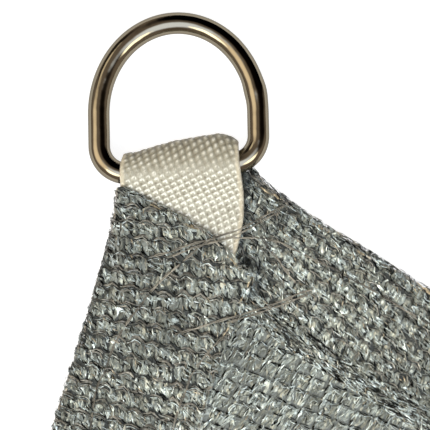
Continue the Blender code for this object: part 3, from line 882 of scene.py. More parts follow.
def corner_cloth(corner, spacing, finish, tint):
    """The corner's cloth: the hem folded over the loop, and the other hem with the single cloth between them."""
    seed = 100 * (corner + 1)
    fine = corner == 0  # the photographed corner
    over, under = over_hem(), under_hem()
    panel, (rows_v, left, right) = panel_ground(over, under, spacing)

    def panel_holds(u, v):
        low, high = np.interp(-v, -rows_v, left), np.interp(-v, -rows_v, right)
        inside = (u > low - 0.5 * MM) & (u < high + 0.5 * MM)
        return (v < -PANEL_START - 1 * MM) & (v > -PANEL_REACH + 1 * MM) & inside

    def panel_surface(u, v, lift):
        return np.stack([u, v, PANEL_TOP + lift], axis=-1)

    def add_edge(knit, hem, *edge):
        knit.add_tapes(edge_tapes(*edge), lambda u, v: (u, v), hem.surface, hem.holds)

    upper, lower = Knit(), Knit()
    ground = over.ground(42)
    # the ground under the tapes is painted dark, as the shade in the gaps between them
    upper.add_ground(ground, "deep")
    cells = whole_cells(*over_count(ground[..., 0], ground[..., 1]))
    upper.add_tapes(hem_tapes(*cells, seed, 0.95, 46, 0.15, 1.0, fine),
                    over_place, over.surface, over.holds, over.shade)
    # tapes along the hem's edges: the gold ones are painted warm glints, and the deep ones painted shade at the fold
    add_edge(upper, over, over.inner, seed + 60, [-0.2 * MM, -0.7 * MM, -1.3 * MM], 4.5 * MM,
             ("tan", "grey", "gold", "grey", "brown"), 0.4 * MM, 0.24)
    add_edge(upper, over, over.outer, seed + 65, [0.2 * MM, 0.8 * MM], 5 * MM,
             ("brown", "deep", "tan"), 0.4 * MM, 0.30)
    ground = under.ground(38)
    # the ground under the tapes is painted dark, as the shade in the gaps between them
    lower.add_ground(ground, "deep")
    cells = whole_cells(*UNDER_ROWS.count(ground[..., 0], ground[..., 1]))
    lower.add_tapes(hem_tapes(*cells, seed + 20, 0.95, 20, 0.30, 0.55, fine),
                    UNDER_ROWS.place, under.surface, under.holds, under.shade)
    if fine:
        # the hem's free edge is drawn into straight streaks, of painted shade and painted highlight
        add_edge(lower, under, under.inner, seed + 70, [-k * 0.45 * MM for k in range(16)], 3.4 * MM,
                 ("dark", "silver", "grey", "dark", "silver", "deep", "grey"), 0.6 * MM, 0.18, 1.02)
    # the deep tapes at the outer fold are painted shade, and the gold ones painted warm glints
    add_edge(lower, under, under.outer, seed + 75, [0.2 * MM, 0.8 * MM, 1.5 * MM], 5 * MM,
             ("brown", "deep", "tan", "gold"), 0.5 * MM, 0.30)
    lower.add_ground(panel, "film")
    cells = whole_cells(*PANEL_ROWS.count(panel[..., 0], panel[..., 1]))
    lower.add_tapes(panel_tapes(*cells, seed + 40, 1.0, fine), PANEL_ROWS.place, panel_surface, panel_holds, patches)
    return [
        upper.knitted(f"folded_hem_{corner + 1}", corner, finish, tint),
        lower.knitted(f"laid_hem_{corner + 1}", corner, finish, tint),
    ]


# ---------------------------------------------------------------- the rest of the cloth


def swell(x, y):
    """How the laid cloth lifts off the floor between its corners, in soft creases that run to them."""
    near = np.minimum.reduce([np.hypot(x - a * SIDE / 2, y - b * SIDE / 2) for a in (-1, 1) for b in (-1, 1)])
    calm = smooth((near - 160 * MM) / (420 * MM))
    broad = soft(x * 2.6 + 0.6 * y, y * 2.6, 7) + 0.5 * soft(x * 5.3, y * 5.3 + x, 8)
    crease = 1 - np.abs(soft(x * 1.9 + y * 0.7, y * 1.6 - x * 0.5, 9)) * 2.2
    height = 2.6 * np.maximum(broad, -0.4) + 1.0 + 2.2 * np.clip(crease, 0, 1) ** 2
    return np.maximum(height, 0) * calm * MM


def laid(place, z):
    """A grid of points at these places and heights, and the knit's grain on it, in stitches and rows."""
    points = np.concatenate([place, z[..., None]], axis=-1)
    return points, np.stack([place[..., 0] / STITCH, -place[..., 1] / ROW], axis=-1).reshape(-1, 2)


def hem_width(share):
    """The width of a hem, square to the sail's side, at this share of the way down it."""
    return (HEM_OVER + (HEM_UNDER - HEM_OVER) * share) / cos(END_SLOPE)


def side_hem(side):
    """The hem between two corners, rolled at its outer fold and cut at its inner edge."""
    start, end = OVER_REACH - LAP, SIDE - UNDER_REACH + LAP
    columns = 9
    radius = 1.25 * MM
    along = np.linspace(start, end, counts(end - start, 14 * MM))
    _, _, lead = over_edges(np.array([OVER_REACH]))
    outer = side_xy(along, 0 * along)
    # the rows come out of the corner square to its hem, and are level within 300 mm
    inner = side_xy(along + lead * (1 - smooth((along - start) / 0.3)), -hem_width((along - start) / (end - start)))
    length = np.linalg.norm(inner - outer, axis=-1)
    direction = (inner - outer) / length[:, None]
    angle = np.linspace(-pi / 2, pi / 2, 6)
    inset = np.concatenate([
        np.broadcast_to(radius * (1 - np.cos(angle)), (len(along), 6)),
        radius + (length - 2 * radius)[:, None] * np.linspace(0, 1, columns)[None, 1:],
        (length - 0.2 * MM)[:, None],
        length[:, None],
    ], axis=1)
    share_up = np.concatenate([(1 + np.sin(angle)) / 2, np.ones(columns - 1), [0.8, 0.0]])
    place = quarter(outer[:, None, :] + direction[:, None, :] * inset[..., None], side)
    return laid(place, 2 * LAYER * share_up[None, :] + swell(place[..., 0], place[..., 1]))


def add_single_cloth(cloth):
    """A curved square inside the hems' inner edges, in two faces that share their rim."""
    count = 130
    # the rims, which slope down to the floor, stay under the hems
    t = np.concatenate([[0], np.linspace(0.0007, 0.9993, count - 2), [1]])
    start, end = 36 * MM, SIDE - 36 * MM
    west = side_xy(start + (end - start) * t, -(hem_width(t) - 2 * MM))
    south, east, north = (quarter(west, turns) for turns in (1, 2, 3))
    s, r = (share[..., None] for share in np.meshgrid(t, t, indexing="ij"))  # s across, r downwards
    place = (1 - s) * west[None, :] + s * east[::-1][None, :] + (1 - r) * north[::-1][:, None] + r * south[:, None]
    place = place - ((1 - s) * (1 - r) * west[0] + (1 - s) * r * west[-1] + s * (1 - r) * east[-1] + s * r * east[0])
    lift = swell(place[..., 0], place[..., 1])
    # it sinks under the finely knitted corners
    sunk = np.zeros_like(lift)
    for corner in range(CORNERS):
        own = to_corner(quarter(place, -corner))
        sunk = np.maximum(sunk, smooth((own[..., 1] + PANEL_REACH + 6 * MM) / (5 * MM)))
    z = LAYER * (1 - 0.75 * sunk) + lift
    for rim in (np.s_[0], np.s_[-1], np.s_[:, 0], np.s_[:, -1]):
        z[rim] = lift[rim]
    top, grain = laid(place, z)
    bottom, _ = laid(place, lift)
    index = numbered(top)
    below = index.copy()
    inside = np.s_[1:-1, 1:-1]
    below[inside] = numbered(index[inside]) + index.size
    faces = quads(index).tolist() + quads(below)[:, ::-1].tolist()
    points = np.concatenate([top.reshape(-1, 3), bottom[inside].reshape(-1, 3)])
    cloth.gather(points, faces, Grain=np.concatenate([grain, grain[index[inside].ravel()]]))


def main_cloth(finish):
    """The hems between the corners and the single cloth inside them, closed underneath."""
    cloth = Gathered()
    for side in range(CORNERS):
        points, grain = side_hem(side)
        cloth.gather(points.reshape(-1, 3), closed_grid(numbered(points)), Grain=grain)
    add_single_cloth(cloth)
    return cloth.build("sail_knit", finish)


# ---------------------------------------------------------------- the webbing loop

# The loop's outline over the bar: share of the width, and the middle line's distance from the bar, in mm.
LOOP_REACH = [
    (0.0, 5.1), (0.03, 5.35), (0.12, 5.45), (0.26, 6.5), (0.45, 7.65),
    (0.67, 8.25), (0.84, 8.55), (0.91, 7.9), (0.97, 6.6), (1.0, 5.3),
]

# How its edges wander: distance from the bar towards the corner's tip, and the shift to the right, in mm.
LEFT_EDGE = [(-8.0, 0.0), (-4.0, 0.25), (0.0, 0.3), (2.0, 0.45), (4.0, 0.9), (5.5, 1.5)]
RIGHT_EDGE = [
    (-33.0, -4.0), (-27.5, -2.95), (-25.1, -1.9), (-20.5, -0.47), (-15.8, 0.5),
    (-12.0, 0.75), (-8.75, 0.8), (-3.0, 0.25), (0.0, 0.0),
]
SELVAGE_CORD = 0.75  # mm, half the width of the cord woven into each edge
LOWER_STEPS = 60  # of the strap's line, before it goes round the bar


def strap_line(across):
    """The strap's middle line at this share of its width: distance from the bar along v, and height."""
    shares, reaches = np.array(LOOP_REACH).T
    reach = float(np.interp(across, shares, reaches * MM))
    rise = WIRE / 2 + BAR_PLAY + STRAP / 2
    lower = np.linspace(LEG_END, 0, LOWER_STEPS, endpoint=False)
    angles = np.radians(np.linspace(-90, 90, 41))
    upper = np.linspace(0, LEG_END, 121)[1:]
    d = np.concatenate([lower, reach * np.cos(angles), upper])
    z = np.concatenate([lower_height(lower), BAR_HEIGHT + rise * np.sin(angles), upper_height(upper)])
    return d, z


def weave(x, w):
    """Where the webbing's knuckles fall: ribs across, rows along, both in whole knuckles. x and w are in mm."""
    p = (0.949 * x + 0.315 * w) / 1.944 + 0.05 * soft(x * 0.7, w * 0.7, 301)
    q = (-0.425 * x + 0.905 * w) / 1.898 + 0.05 * soft(x * 0.7, w * 0.7, 302)
    return p, q


def webbing_strap(corner, spacing, finish):
    """A strap from the end of one leg, round the ring's bar to the end of the other, woven in relief."""
    across_count = counts(STRAP_WIDTH, spacing)
    width_share = np.linspace(0, 1, across_count)
    d, z = (np.stack(lines, axis=1) for lines in zip(*(strap_line(share) for share in width_share)))
    low, high = strap_edges(BAR_MIDDLE.y + d)
    shown = (np.arange(len(d)) >= LOWER_STEPS)[:, None]  # the lower leg keeps inside the upper one
    low = low + shown * looked_up(d, LEFT_EDGE)
    wander = looked_up(d, RIGHT_EDGE)
    high = high + np.where(shown, wander, np.minimum(wander, 0) - 0.4 * MM)
    u = low + (high - low) * width_share[None, :]
    centre = np.stack([u, bar_v(u) + d, z], axis=-1)
    # even steps along the strap
    length = lengths(centre[:, across_count // 2])
    steps = counts(length[-1], spacing)
    even = np.linspace(0, length[-1], steps)
    centre = [[np.interp(even, length, centre[:, j, k]) for j in range(across_count)] for k in range(3)]
    centre = np.stack(centre, axis=-1).transpose(1, 0, 2)
    normal = np.cross(np.gradient(centre, axis=0), np.gradient(centre, axis=1))
    normal = normal / np.linalg.norm(normal, axis=-1)[..., None]
    x = (width_share * STRAP_WIDTH / MM)[None, :] * np.ones((steps, 1))
    w = (even / MM)[:, None] * np.ones((1, across_count))
    # on the upper leg w runs towards the free end, so the rows rise to the right there
    p, q = weave(x, -w)
    # the knuckles stand up where the strap is bent round the bar
    bent = ramp(-5.5 * MM, 4.5 * MM, centre[..., 1] - bar_v(centre[..., 0]))
    rib, row = (np.clip(1 - np.abs(off(part, 0) * 2) ** 2.4, 0, 1) ** 0.6 for part in (p, q))
    height = rib * row * (0.16 + 0.18 * bent)
    rim = np.minimum(x, STRAP_WIDTH / MM - x)
    selvage = 1 - ramp(0.9, 1.6, rim)
    cord = 0.12 * np.sqrt(np.clip(1 - ((rim - SELVAGE_CORD) / SELVAGE_CORD) ** 2, 0, 1))
    cord = cord + 0.02 * np.sin(w * 2 * pi / 1.1)
    height = height * (1 - 0.6 * selvage) + (cord + 0.05) * selvage
    thin = np.sqrt(np.clip(1 - (1 - np.clip(rim / 0.65, 0, 1)) ** 2, 0, 1))  # the edges are round
    out = (STRAP / 2 - 0.27 * MM) * thin + height * MM * np.clip(rim / 0.4, 0, 1)

    def around(one, other):
        return np.concatenate([one, other[:, ::-1][:, 1:-1]], axis=1)

    sheet = around(centre - normal * out[..., None], centre + normal * out[..., None])
    index = numbered(sheet)
    faces = quads(np.concatenate([index, index[:, :1]], axis=1)).tolist() + [list(index[0])[::-1], list(index[-1])]
    carried = {
        "Selvage": around(selvage, selvage),
        "Bent": around(bent, bent),
        "Weave": np.stack([around(p, p), around(q, q)], axis=-1),
    }
    return new_piece(f"webbing_loop_{corner + 1}", placed(sheet.reshape(-1, 3), corner), faces, finish, carried)


# ---------------------------------------------------------------- the ring


def ring_line(bow_steps, corner_steps):
    """The wire's middle line, with the bar's middle at (0, 0) and the bar along x."""
    half = RING_HALF_WIDTH
    turns = [pi * i / bow_steps for i in range(bow_steps + 1)]
    points = [Vector((half * cos(turn), BOW_HEIGHT * sin(turn))) for turn in turns]
    corners = []
    for side, leg, span in ((-1, LONG_LEG, pi / 2 + BAR_SLOPE), (1, SHORT_LEG, pi / 2 - BAR_SLOPE)):
        back = RING_CORNER * tan(span / 2)
        middle = Vector((side * (half - RING_CORNER), back - leg))
        start = pi if side < 0 else 2 * pi - span
        turns = [start + span * i / corner_steps for i in range(corner_steps + 1)]
        corners.append([middle + RING_CORNER * Vector((cos(turn), sin(turn))) for turn in turns])
    bar = Vector((0, -(LONG_LEG + SHORT_LEG) / 2))

    def between(start, end, steps):
        return [start.lerp(end, i / steps) for i in range(1, steps)]

    points += between(points[-1], corners[0][0], 6) + corners[0]
    points += between(corners[0][-1], corners[1][0], 14) + corners[1]
    points += between(corners[1][-1], points[0], 6)
    return [Matrix.Rotation(-BAR_SLOPE, 2) @ (p - bar) for p in points]


WELD = Vector((23.6 * MM, 20.6 * MM))  # on the ring's line, where the wire swells


def steel_ring(corner, finish):
    """A closed wire that lies tilted, from its bar in the loop down to the floor."""
    points = ring_line(72, 16)
    clear_choice()
    bpy.ops.curve.primitive_nurbs_path_add()
    curve = bpy.context.object.data
    curve.splines.clear()
    curve.dimensions = "3D"
    curve.twist_mode = "Z_UP"
    curve.bevel_depth = WIRE / 2
    curve.bevel_resolution = 12
    spline = curve.splines.new("POLY")
    spline.points.add(len(points) - 1)
    for point, place in zip(spline.points, points):
        point.co = (place.x, place.y, 0, 1)
        point.radius = 1 + 0.07 * float(hump((place - WELD).length, 2.6 * MM))
    spline.use_cyclic_u = True
    reach = max(p.y for p in points)
    lie = Matrix.Rotation(-asin((BAR_HEIGHT - WIRE / 2) / reach), 4, "X")
    place = Matrix.Translation((BAR_MIDDLE.x, BAR_MIDDLE.y, BAR_HEIGHT))
    bpy.ops.object.convert(target="MESH")
    piece = bpy.context.object
    piece.name = f"ring_{corner + 1}"
    piece.data.name = piece.name
    piece.data.transform(corner_matrix(corner) @ place @ Matrix.Rotation(BAR_TURN, 4, "Z") @ lie)
    piece.matrix_world = Matrix.Identity(4)
    piece.data.polygons.foreach_set("use_smooth", np.ones(len(piece.data.polygons), dtype=bool))
    piece.data.materials.clear()
    piece.data.materials.append(finish)
    return piece


# ---------------------------------------------------------------- the sewing

# Runs of thread in the corner's own frame, in mm. A tack is one long stitch.
THREADS = {
    "tack across the loop": [
        (40.0, -26.8), (35.4, -29.0), (27.7, -33.3), (25.4, -34.3), (22.1, -35.2),
        (19.1, -36.3), (11.0, -38.5), (5.8, -40.4), (0.7, -41.7),
    ],
    "tack beside it": [(38.6, -28.2), (30.0, -33.2), (24.0, -36.2), (14.5, -38.6), (6.0, -41.8)],
    "outer hem row": [
        (19.6, -35.4), (13.6, -39.8), (8.4, -44.5), (4.0, -48.3), (0.7, -51.8), (-1.9, -55.3), (-5.3, -59.4),
        (-8.0, -63.4), (-10.1, -67.3), (-11.4, -70.7), (-12.6, -74.7), (-14.8, -78.8), (-16.1, -83.2),
        (-16.7, -88.3), (-17.6, -96.0),
    ],
    "tack over the tip": [
        (48.2, -51.2), (42.9, -53.0), (35.4, -56.2), (26.1, -59.0), (19.6, -60.9), (13.1, -63.0), (6.7, -64.7),
    ],
    "second tack there": [(46.8, -52.6), (38.0, -56.2), (30.0, -58.9), (22.0, -61.4)],
    "down from the loop": [(24.2, -36.3), (33.0, -36.3), (35.1, -39.5), (38.1, -43.0), (40.0, -46.0), (43.9, -50.7)],
    "outer row under": [
        (33.0, -36.3), (38.3, -37.5), (48.5, -42.8), (53.2, -44.8), (65.2, -51.5), (85.0, -63.5), (104.0, -76.0),
    ],
    "inner hem row": [
        (21.9, -65.0), (18.7, -68.2), (15.5, -72.0), (12.2, -76.7), (10.5, -81.7), (9.2, -84.4), (7.8, -88.7),
        (6.0, -96.0),
    ],
}
HEM_STITCH = 13 * MM
WIND = 10.5 * MM  # the two threads of a pair wind about each other once in this length


def thread_tube(points, radius, sides=6):
    """A closed tube of points and faces along a line."""
    verts, faces = [], []
    for i, point in enumerate(points):
        ahead = points[min(i + 1, len(points) - 1)] - points[max(i - 1, 0)]
        across = ahead.cross(Vector((0, 0, 1))).normalized()
        up = across.cross(ahead).normalized()
        size = radius * (0.35 if i in (0, len(points) - 1) else 1)
        for k in range(sides):
            turn = 2 * pi * k / sides
            verts.append(point + (across * cos(turn) + up * sin(turn)) * size)
    for i in range(len(points) - 1):
        for k in range(sides):
            a, b = i * sides + k, i * sides + (k + 1) % sides
            faces.append((a, b, b + sides, a + sides))
    faces.append(tuple(range(sides))[::-1])
    faces.append(tuple(range((len(points) - 1) * sides, len(points) * sides)))
    return verts, faces


def lying(spots, tree):
    """Heights of a taut thread over these spots: it rests on what stands highest, and dips at its ends."""
    hits = [tree.ray_cast(spot + Vector((0, 0, 0.05)), Vector((0, 0, -1)))[0] for spot in spots]
    heights = np.array([hit.z if hit else 2 * LAYER for hit in hits])
    padded = np.pad(heights, 2, mode="edge")
    highest = np.max([padded[k : k + len(heights)] for k in range(5)], axis=0)
    taut = np.convolve(np.pad(highest, 2, mode="edge"), np.ones(5) / 5, "valid")
    taut[[0, -1]] -= 0.7 * MM
    return taut


def corner_sewing(corner, tree, thickness, finish):
    """Long tacks and the hems' rows, each a pair of threads that wind about each other."""
    verts, faces = [], []
    matrix = corner_matrix(corner)
    for order, (name, line) in enumerate(THREADS.items()):
        flat = np.array(line) * MM
        gone = lengths(flat)
        stitch = gone[-1] if "tack" in name else HEM_STITCH
        for strand in (-1, 1):
            for start in np.arange(0, gone[-1] - 2 * MM, stitch):
                end = min(start + stitch - 0.5 * MM, gone[-1])
                steps = max(int((end - start) / (0.6 * MM)), 4)
                s = start + (end - start) * np.linspace(0, 1, steps + 1)
                u, v = np.interp(s, gone, flat[:, 0]), np.interp(s, gone, flat[:, 1])
                du, dv = np.gradient(u), np.gradient(v)
                size = np.hypot(du, dv)
                wave = 0.20 * MM * np.sin(2 * pi * s / WIND + order)
                stray = 0.10 * MM * soft(s / MM * 0.5, s * 0 + order * 3.1 + strand, 400 + order)
                aside = strand * (wave + stray)
                spots = [matrix @ Vector((a, b, 0)) for a, b in zip(u - dv / size * aside, v + du / size * aside)]
                up = (0.04 + 0.05 * strand) * MM
                points = [Vector((spot.x, spot.y, z + up)) for spot, z in zip(spots, lying(spots, tree))]
                made, own = thread_tube(points, thickness / 2)
                faces += [tuple(k + len(verts) for k in face) for face in own]
                verts += made
    return new_piece(f"stitching_{corner + 1}", np.array([tuple(p) for p in verts]), faces, finish)


# ---------------------------------------------------------------- finishes


def add(tree, kind, inputs=(), **settings):
    """One node with its settings, and its inputs by name or in order, as values or links.

    A node that is given as an input stands for its first output."""
    node = tree.nodes.new("ShaderNode" + kind)
    for key, value in settings.items():
        setattr(node, key, value)
    for key, value in inputs.items() if isinstance(inputs, dict) else enumerate(inputs):
        if isinstance(value, bpy.types.Node):
            value = value.outputs[0]
        if isinstance(value, bpy.types.NodeSocket):
            tree.links.new(value, node.inputs[key])
        else:
            node.inputs[key].default_value = value
    return node


def new_finish(name):
    """A material with an empty tree."""
    finish = bpy.data.materials.new(name)
    finish.use_nodes = True
    finish.node_tree.nodes.clear()
    return finish, finish.node_tree


def set_stops(colour_ramp, tint, stops):
    """Fills a ramp from rows of a position and an sRGB colour, each times the tint."""
    elements = colour_ramp.color_ramp.elements
    rows = [(at, (*(c * t for c, t in zip(linear(code), tint)), 1)) for at, code in stops]
    for element, (at, colour) in zip(elements, (rows[0], rows[-1])):
        element.position, element.color = at, colour
    for at, colour in rows[1:-1]:
        elements.new(at).color = colour


def fine_knit_finish():
    """HDPE tape, slit from film and knitted: the film's gloss gives glints on its creases, over the painted glints
    and painted shade that the tapes' colours carry.
    """
    finish, tree = new_finish("Knitted HDPE tape, corner")
    tone = add(tree, "Attribute", attribute_name="Tape")
    gloss = add(tree, "Attribute", attribute_name="Gloss").outputs["Fac"]
    place = add(tree, "TexCoord").outputs["Object"]
    # tape is drawn along its length, so it is streaked: 2 mm long and 0.3 to 0.6 mm across, which is
    # as fine as the render shows
    turned = add(tree, "Mapping", {"Vector": place, "Rotation": (0, 0, radians(-30)), "Scale": (1600, 520, 800)})
    streak = add(tree, "TexNoise", {"Vector": turned, "Scale": 1.0, "Detail": 2.0, "Roughness": 0.6})
    varied = add(tree, "MapRange", (streak, 0.25, 0.75, 0.58, 1.46))
    light = add(tree, "VectorMath", {0: tone, "Scale": varied}, operation="SCALE")
    bump = add(tree, "Bump", {"Height": streak, "Strength": 0.55, "Distance": 0.00028})
    # film mirrors a little; the gaps and folds, which are the roughest, throw nothing back
    mirror = add(tree, "MapRange", (gloss, 0.44, 0.5, 0.4, 1.0))
    surface = {"Base Color": light, "Roughness": gloss, "Metallic": mirror, "Normal": bump, "IOR": 1.54}
    add(tree, "OutputMaterial", {"Surface": add(tree, "BsdfPrincipled", surface)})
    return finish


def plain_knit_finish(tint):
    """The same cloth away from the corners, with its stitches drawn in relief by the shader."""
    finish, tree = new_finish("Knitted HDPE tape")
    grain = add(tree, "Attribute", attribute_name="Grain").outputs["Vector"]  # in stitches and rows
    parts = add(tree, "SeparateXYZ", {"Vector": grain})
    loop = add(tree, "TexVoronoi", {"Vector": grain, "Scale": 1.6, "Randomness": 0.55}, voronoi_dimensions="2D")
    crumpled = {"Vector": grain, "Scale": 8.0, "Detail": 2.0, "Roughness": 0.6}
    crumple = add(tree, "TexNoise", crumpled, noise_dimensions="2D")
    wale = add(tree, "Math", (parts.outputs["X"], 2 * pi), operation="MULTIPLY")
    wave = add(tree, "Math", (wale,), operation="COSINE")
    body = add(tree, "Math", (loop, -0.55, 0.55), operation="MULTIPLY_ADD")
    with_wave = add(tree, "Math", (wave, 0.06, body), operation="MULTIPLY_ADD")
    height = add(tree, "Math", (crumple, 0.78, with_wave), operation="MULTIPLY_ADD")
    # the ramp paints the relief: painted shade in its low parts, and painted glints on its crests
    colour = add(tree, "ValToRGB", {"Fac": height})
    set_stops(colour, tint, ((0.40, "#121312"), (0.62, "#555958"), (0.80, "#868b8a"), (0.96, "#cfd8da")))
    bump = add(tree, "Bump", {"Height": height, "Strength": 0.8, "Distance": 0.0009})
    surface = {"Base Color": colour, "Normal": bump, "Roughness": 0.42, "IOR": 1.52}
    add(tree, "OutputMaterial", {"Surface": add(tree, "BsdfPrincipled", surface)})
    return finish


def webbing_finish(tint):
    """Polyester webbing, woven from bright filament: cream knuckles with painted highlights on their crests, and
    painted shade between them.
    """
    finish, tree = new_finish("Woven polyester webbing")
    weave_at = add(tree, "Attribute", attribute_name="Weave").outputs["Vector"]  # in knuckles
    bent = add(tree, "Attribute", attribute_name="Bent").outputs["Fac"]
    selvage = add(tree, "Attribute", attribute_name="Selvage").outputs["Fac"]
    across, along, _ = add(tree, "SeparateXYZ", {"Vector": weave_at}).outputs
    filament = add(tree, "TexNoise", {"Vector": weave_at, "Scale": 4.0, "Detail": 2.0})
    uneven = add(tree, "TexNoise", {"Vector": weave_at, "Scale": 0.9, "Detail": 1.0})

    def crest(value, middle, reach):
        """A ridge of this half-width at this share of each knuckle."""
        moved = add(tree, "Math", (value, 0.5 - middle), operation="ADD")
        share = add(tree, "Math", (moved,), operation="FRACT")
        away = add(tree, "Math", (share, 0.5), operation="SUBTRACT")
        size = add(tree, "Math", (away,), operation="ABSOLUTE")
        return add(tree, "MapRange", (size, 0.0, reach, 1.0, 0.0), interpolation_type="SMOOTHSTEP")

    # flat, each knuckle shows a crest on its two upper sides, painted white as a highlight, with painted shade in
    # the pit beside it; bent, it stands up as an oval, painted light as a highlight
    row_crest = add(tree, "Math", (crest(along, 0.40, 0.26), crest(across, 0.12, 0.56)), operation="MULTIPLY")
    rib_crest = add(tree, "Math", (crest(across, 0.40, 0.22), crest(along, 0.20, 0.56)), operation="MULTIPLY")
    crest_highlight = add(tree, "Math", (row_crest, rib_crest), operation="MAXIMUM")
    pit = add(tree, "Math", (crest(across, 0.84, 0.26), crest(along, 0.78, 0.34)), operation="MULTIPLY")
    groove = add(tree, "Math", (pit, -0.34, 0.55), operation="MULTIPLY_ADD")
    flat = add(tree, "Math", (crest_highlight, 0.62, groove), operation="MULTIPLY_ADD")
    oval = add(tree, "Math", (crest(across, 0.0, 0.60), crest(along, 0.0, 0.66)), operation="MULTIPLY")
    raised = add(tree, "Math", (oval, 0.56, 0.38), operation="MULTIPLY_ADD")
    body = add(tree, "Mix", {"Factor": bent, 2: flat, 3: raised})
    stirred = add(tree, "MapRange", (uneven, 0.3, 0.7, -0.12, 0.12))
    level = add(tree, "Math", (body, stirred), operation="ADD")
    colour = add(tree, "ValToRGB", {"Fac": level})
    stops = ((0.05, "#7a7366"), (0.30, "#958f80"), (0.5, "#aeaa9b"), (0.7, "#c3c0b3"), (0.90, "#f6f5ee"))
    set_stops(colour, tint, stops)
    # painted shade where the strap is bent round the bar, and the woven-in edge is creamier
    bent_shade = add(tree, "Math", (bent, 0.55), operation="MULTIPLY")
    bent_shade_mix = {"Factor": bent_shade, 6: colour, 7: (*linear("#cfc8ba"), 1)}
    bent_shaded = add(tree, "Mix", bent_shade_mix, data_type="RGBA", blend_type="MULTIPLY").outputs[2]
    bordered = add(tree, "Math", (selvage, 0.72), operation="MULTIPLY")
    edge = {"Factor": bordered, 6: bent_shaded, 7: (*linear("#d6cbb4"), 1)}
    edged = add(tree, "Mix", edge, data_type="RGBA").outputs[2]
    fleck = add(tree, "MapRange", (filament, 0.3, 0.7, 0.86, 1.10))
    light = add(tree, "VectorMath", {0: edged, "Scale": fleck}, operation="SCALE")
    bump = add(tree, "Bump", {"Height": body, "Strength": 0.7, "Distance": 0.0003})
    surface = {"Base Color": light, "Normal": bump, "Roughness": 0.5, "Sheen Weight": 0.1}
    add(tree, "OutputMaterial", {"Surface": add(tree, "BsdfPrincipled", surface)})
    return finish


def steel_finish(colour):
    """Stainless steel wire, tumbled and polished: a mirror with a faint haze along the wire."""
    finish, tree = new_finish("Polished stainless steel")
    place = add(tree, "TexCoord").outputs["Object"]
    haze = add(tree, "TexNoise", {"Vector": place, "Scale": 900.0, "Detail": 3.0})
    rough = add(tree, "MapRange", (haze, 0.3, 0.7, 0.04, 0.09))
    # drawn wire keeps a faint waviness, which breaks up what it mirrors
    wavy = add(tree, "TexNoise", {"Vector": place, "Scale": 260.0, "Detail": 1.0})
    fine = add(tree, "Math", (haze, 0.05, wavy), operation="MULTIPLY_ADD")
    bump = add(tree, "Bump", {"Height": fine, "Strength": 0.35, "Distance": 0.00025})
    surface = {"Base Color": (*colour, 1), "Metallic": 1.0, "Roughness": rough, "Normal": bump}
    surface["Specular Tint"] = (0.5, 0.5, 0.5, 1)
    add(tree, "OutputMaterial", {"Surface": add(tree, "BsdfPrincipled", surface)})
    return finish


def thread_finish(tint):
    """Twisted polyester sewing thread, weathered grey-brown in patches of a few millimetres."""
    finish, tree = new_finish("Twisted polyester thread")
    place = add(tree, "TexCoord").outputs["Object"]
    patch = add(tree, "TexNoise", {"Vector": place, "Scale": 140.0, "Detail": 1.0})
    colour = add(tree, "ValToRGB", {"Fac": patch})
    set_stops(colour, tint, ((0.35, "#4d4a44"), (0.68, "#a8a296")))
    surface = {"Base Color": colour, "Roughness": 0.5}
    add(tree, "OutputMaterial", {"Surface": add(tree, "BsdfPrincipled", surface)})
    return finish


# ---------------------------------------------------------------- the stage

# The room round the sail is one tone with soft patches on it: the way to the patch's middle and
# down from overhead, where it is full and where it ends, all in degrees; its colour and strength,
# and how much of the room it covers.
ROOM_TONE = "#bdafa0"
ROOM = [
    (60, 62, 34, 52, "#050505", 1.0, 1.0),
    (20, 40, 10, 34, "#1c120c", 1.0, 0.9),
    (135, 66, 10, 22, "#10140a", 1.0, 0.9),
    (140, 50, 5, 11, "#e4d8c0", 3.4, 0.9),
    (270, 74, 10, 22, "#8c8068", 0.9, 0.7),
    (275, 22, 14, 34, "#d9e6f9", 4.6, 0.95),
    (185, 40, 8, 30, "#f2e3c8", 4.2, 0.95),
    (232, 40, 6, 16, "#fafae9", 9.4, 1.0),
    (318, 42, 6, 16, "#faf8e5", 8.5, 1.0),
]


def room():
    """Soft studio light from all round, which the steel mirrors."""
    world = bpy.data.worlds.new("Studio")
    bpy.context.scene.world = world
    world.use_nodes = True
    tree = world.node_tree
    tree.nodes.clear()
    way = add(tree, "TexCoord").outputs["Generated"]
    here = (*linear(ROOM_TONE), 1)
    for azimuth, polar, inner, outer, code, strength, share in ROOM:
        turn, tip = radians(azimuth) + CORNER_TURN, radians(polar)
        aim = (cos(turn) * sin(tip), sin(turn) * sin(tip), cos(tip))
        near = add(tree, "VectorMath", (way, aim), operation="DOT_PRODUCT").outputs["Value"]
        fade = (near, cos(radians(outer)), cos(radians(inner)), 0.0, share)
        mask = add(tree, "MapRange", fade, interpolation_type="SMOOTHSTEP")
        patch = (*(c * strength for c in linear(code)), 1)
        here = add(tree, "Mix", {"Factor": mask, 6: here, 7: patch}, data_type="RGBA").outputs[2]
    light = add(tree, "Background", {"Color": here, "Strength": 0.75})
    add(tree, "OutputWorld", {"Surface": light})


def floor_piece():
    """A wide white floor, which gives a little light of its own, so that it reads as the photo's white."""
    clear_choice()
    bpy.ops.mesh.primitive_plane_add(size=80, location=(0, 0, -0.0004))
    floor = bpy.context.object
    floor.name = "floor"
    floor.data.transform(floor.matrix_world)
    floor.matrix_world = Matrix.Identity(4)
    finish, tree = new_finish("White paper sweep")
    surface = {"Base Color": (0.35, 0.35, 0.35, 1), "Roughness": 0.95, "Specular IOR Level": 0.0}
    surface |= {"Emission Color": (1, 1, 1, 1), "Emission Strength": 0.86}
    add(tree, "OutputMaterial", {"Surface": add(tree, "BsdfPrincipled", surface)})
    floor.data.materials.append(finish)
    return floor


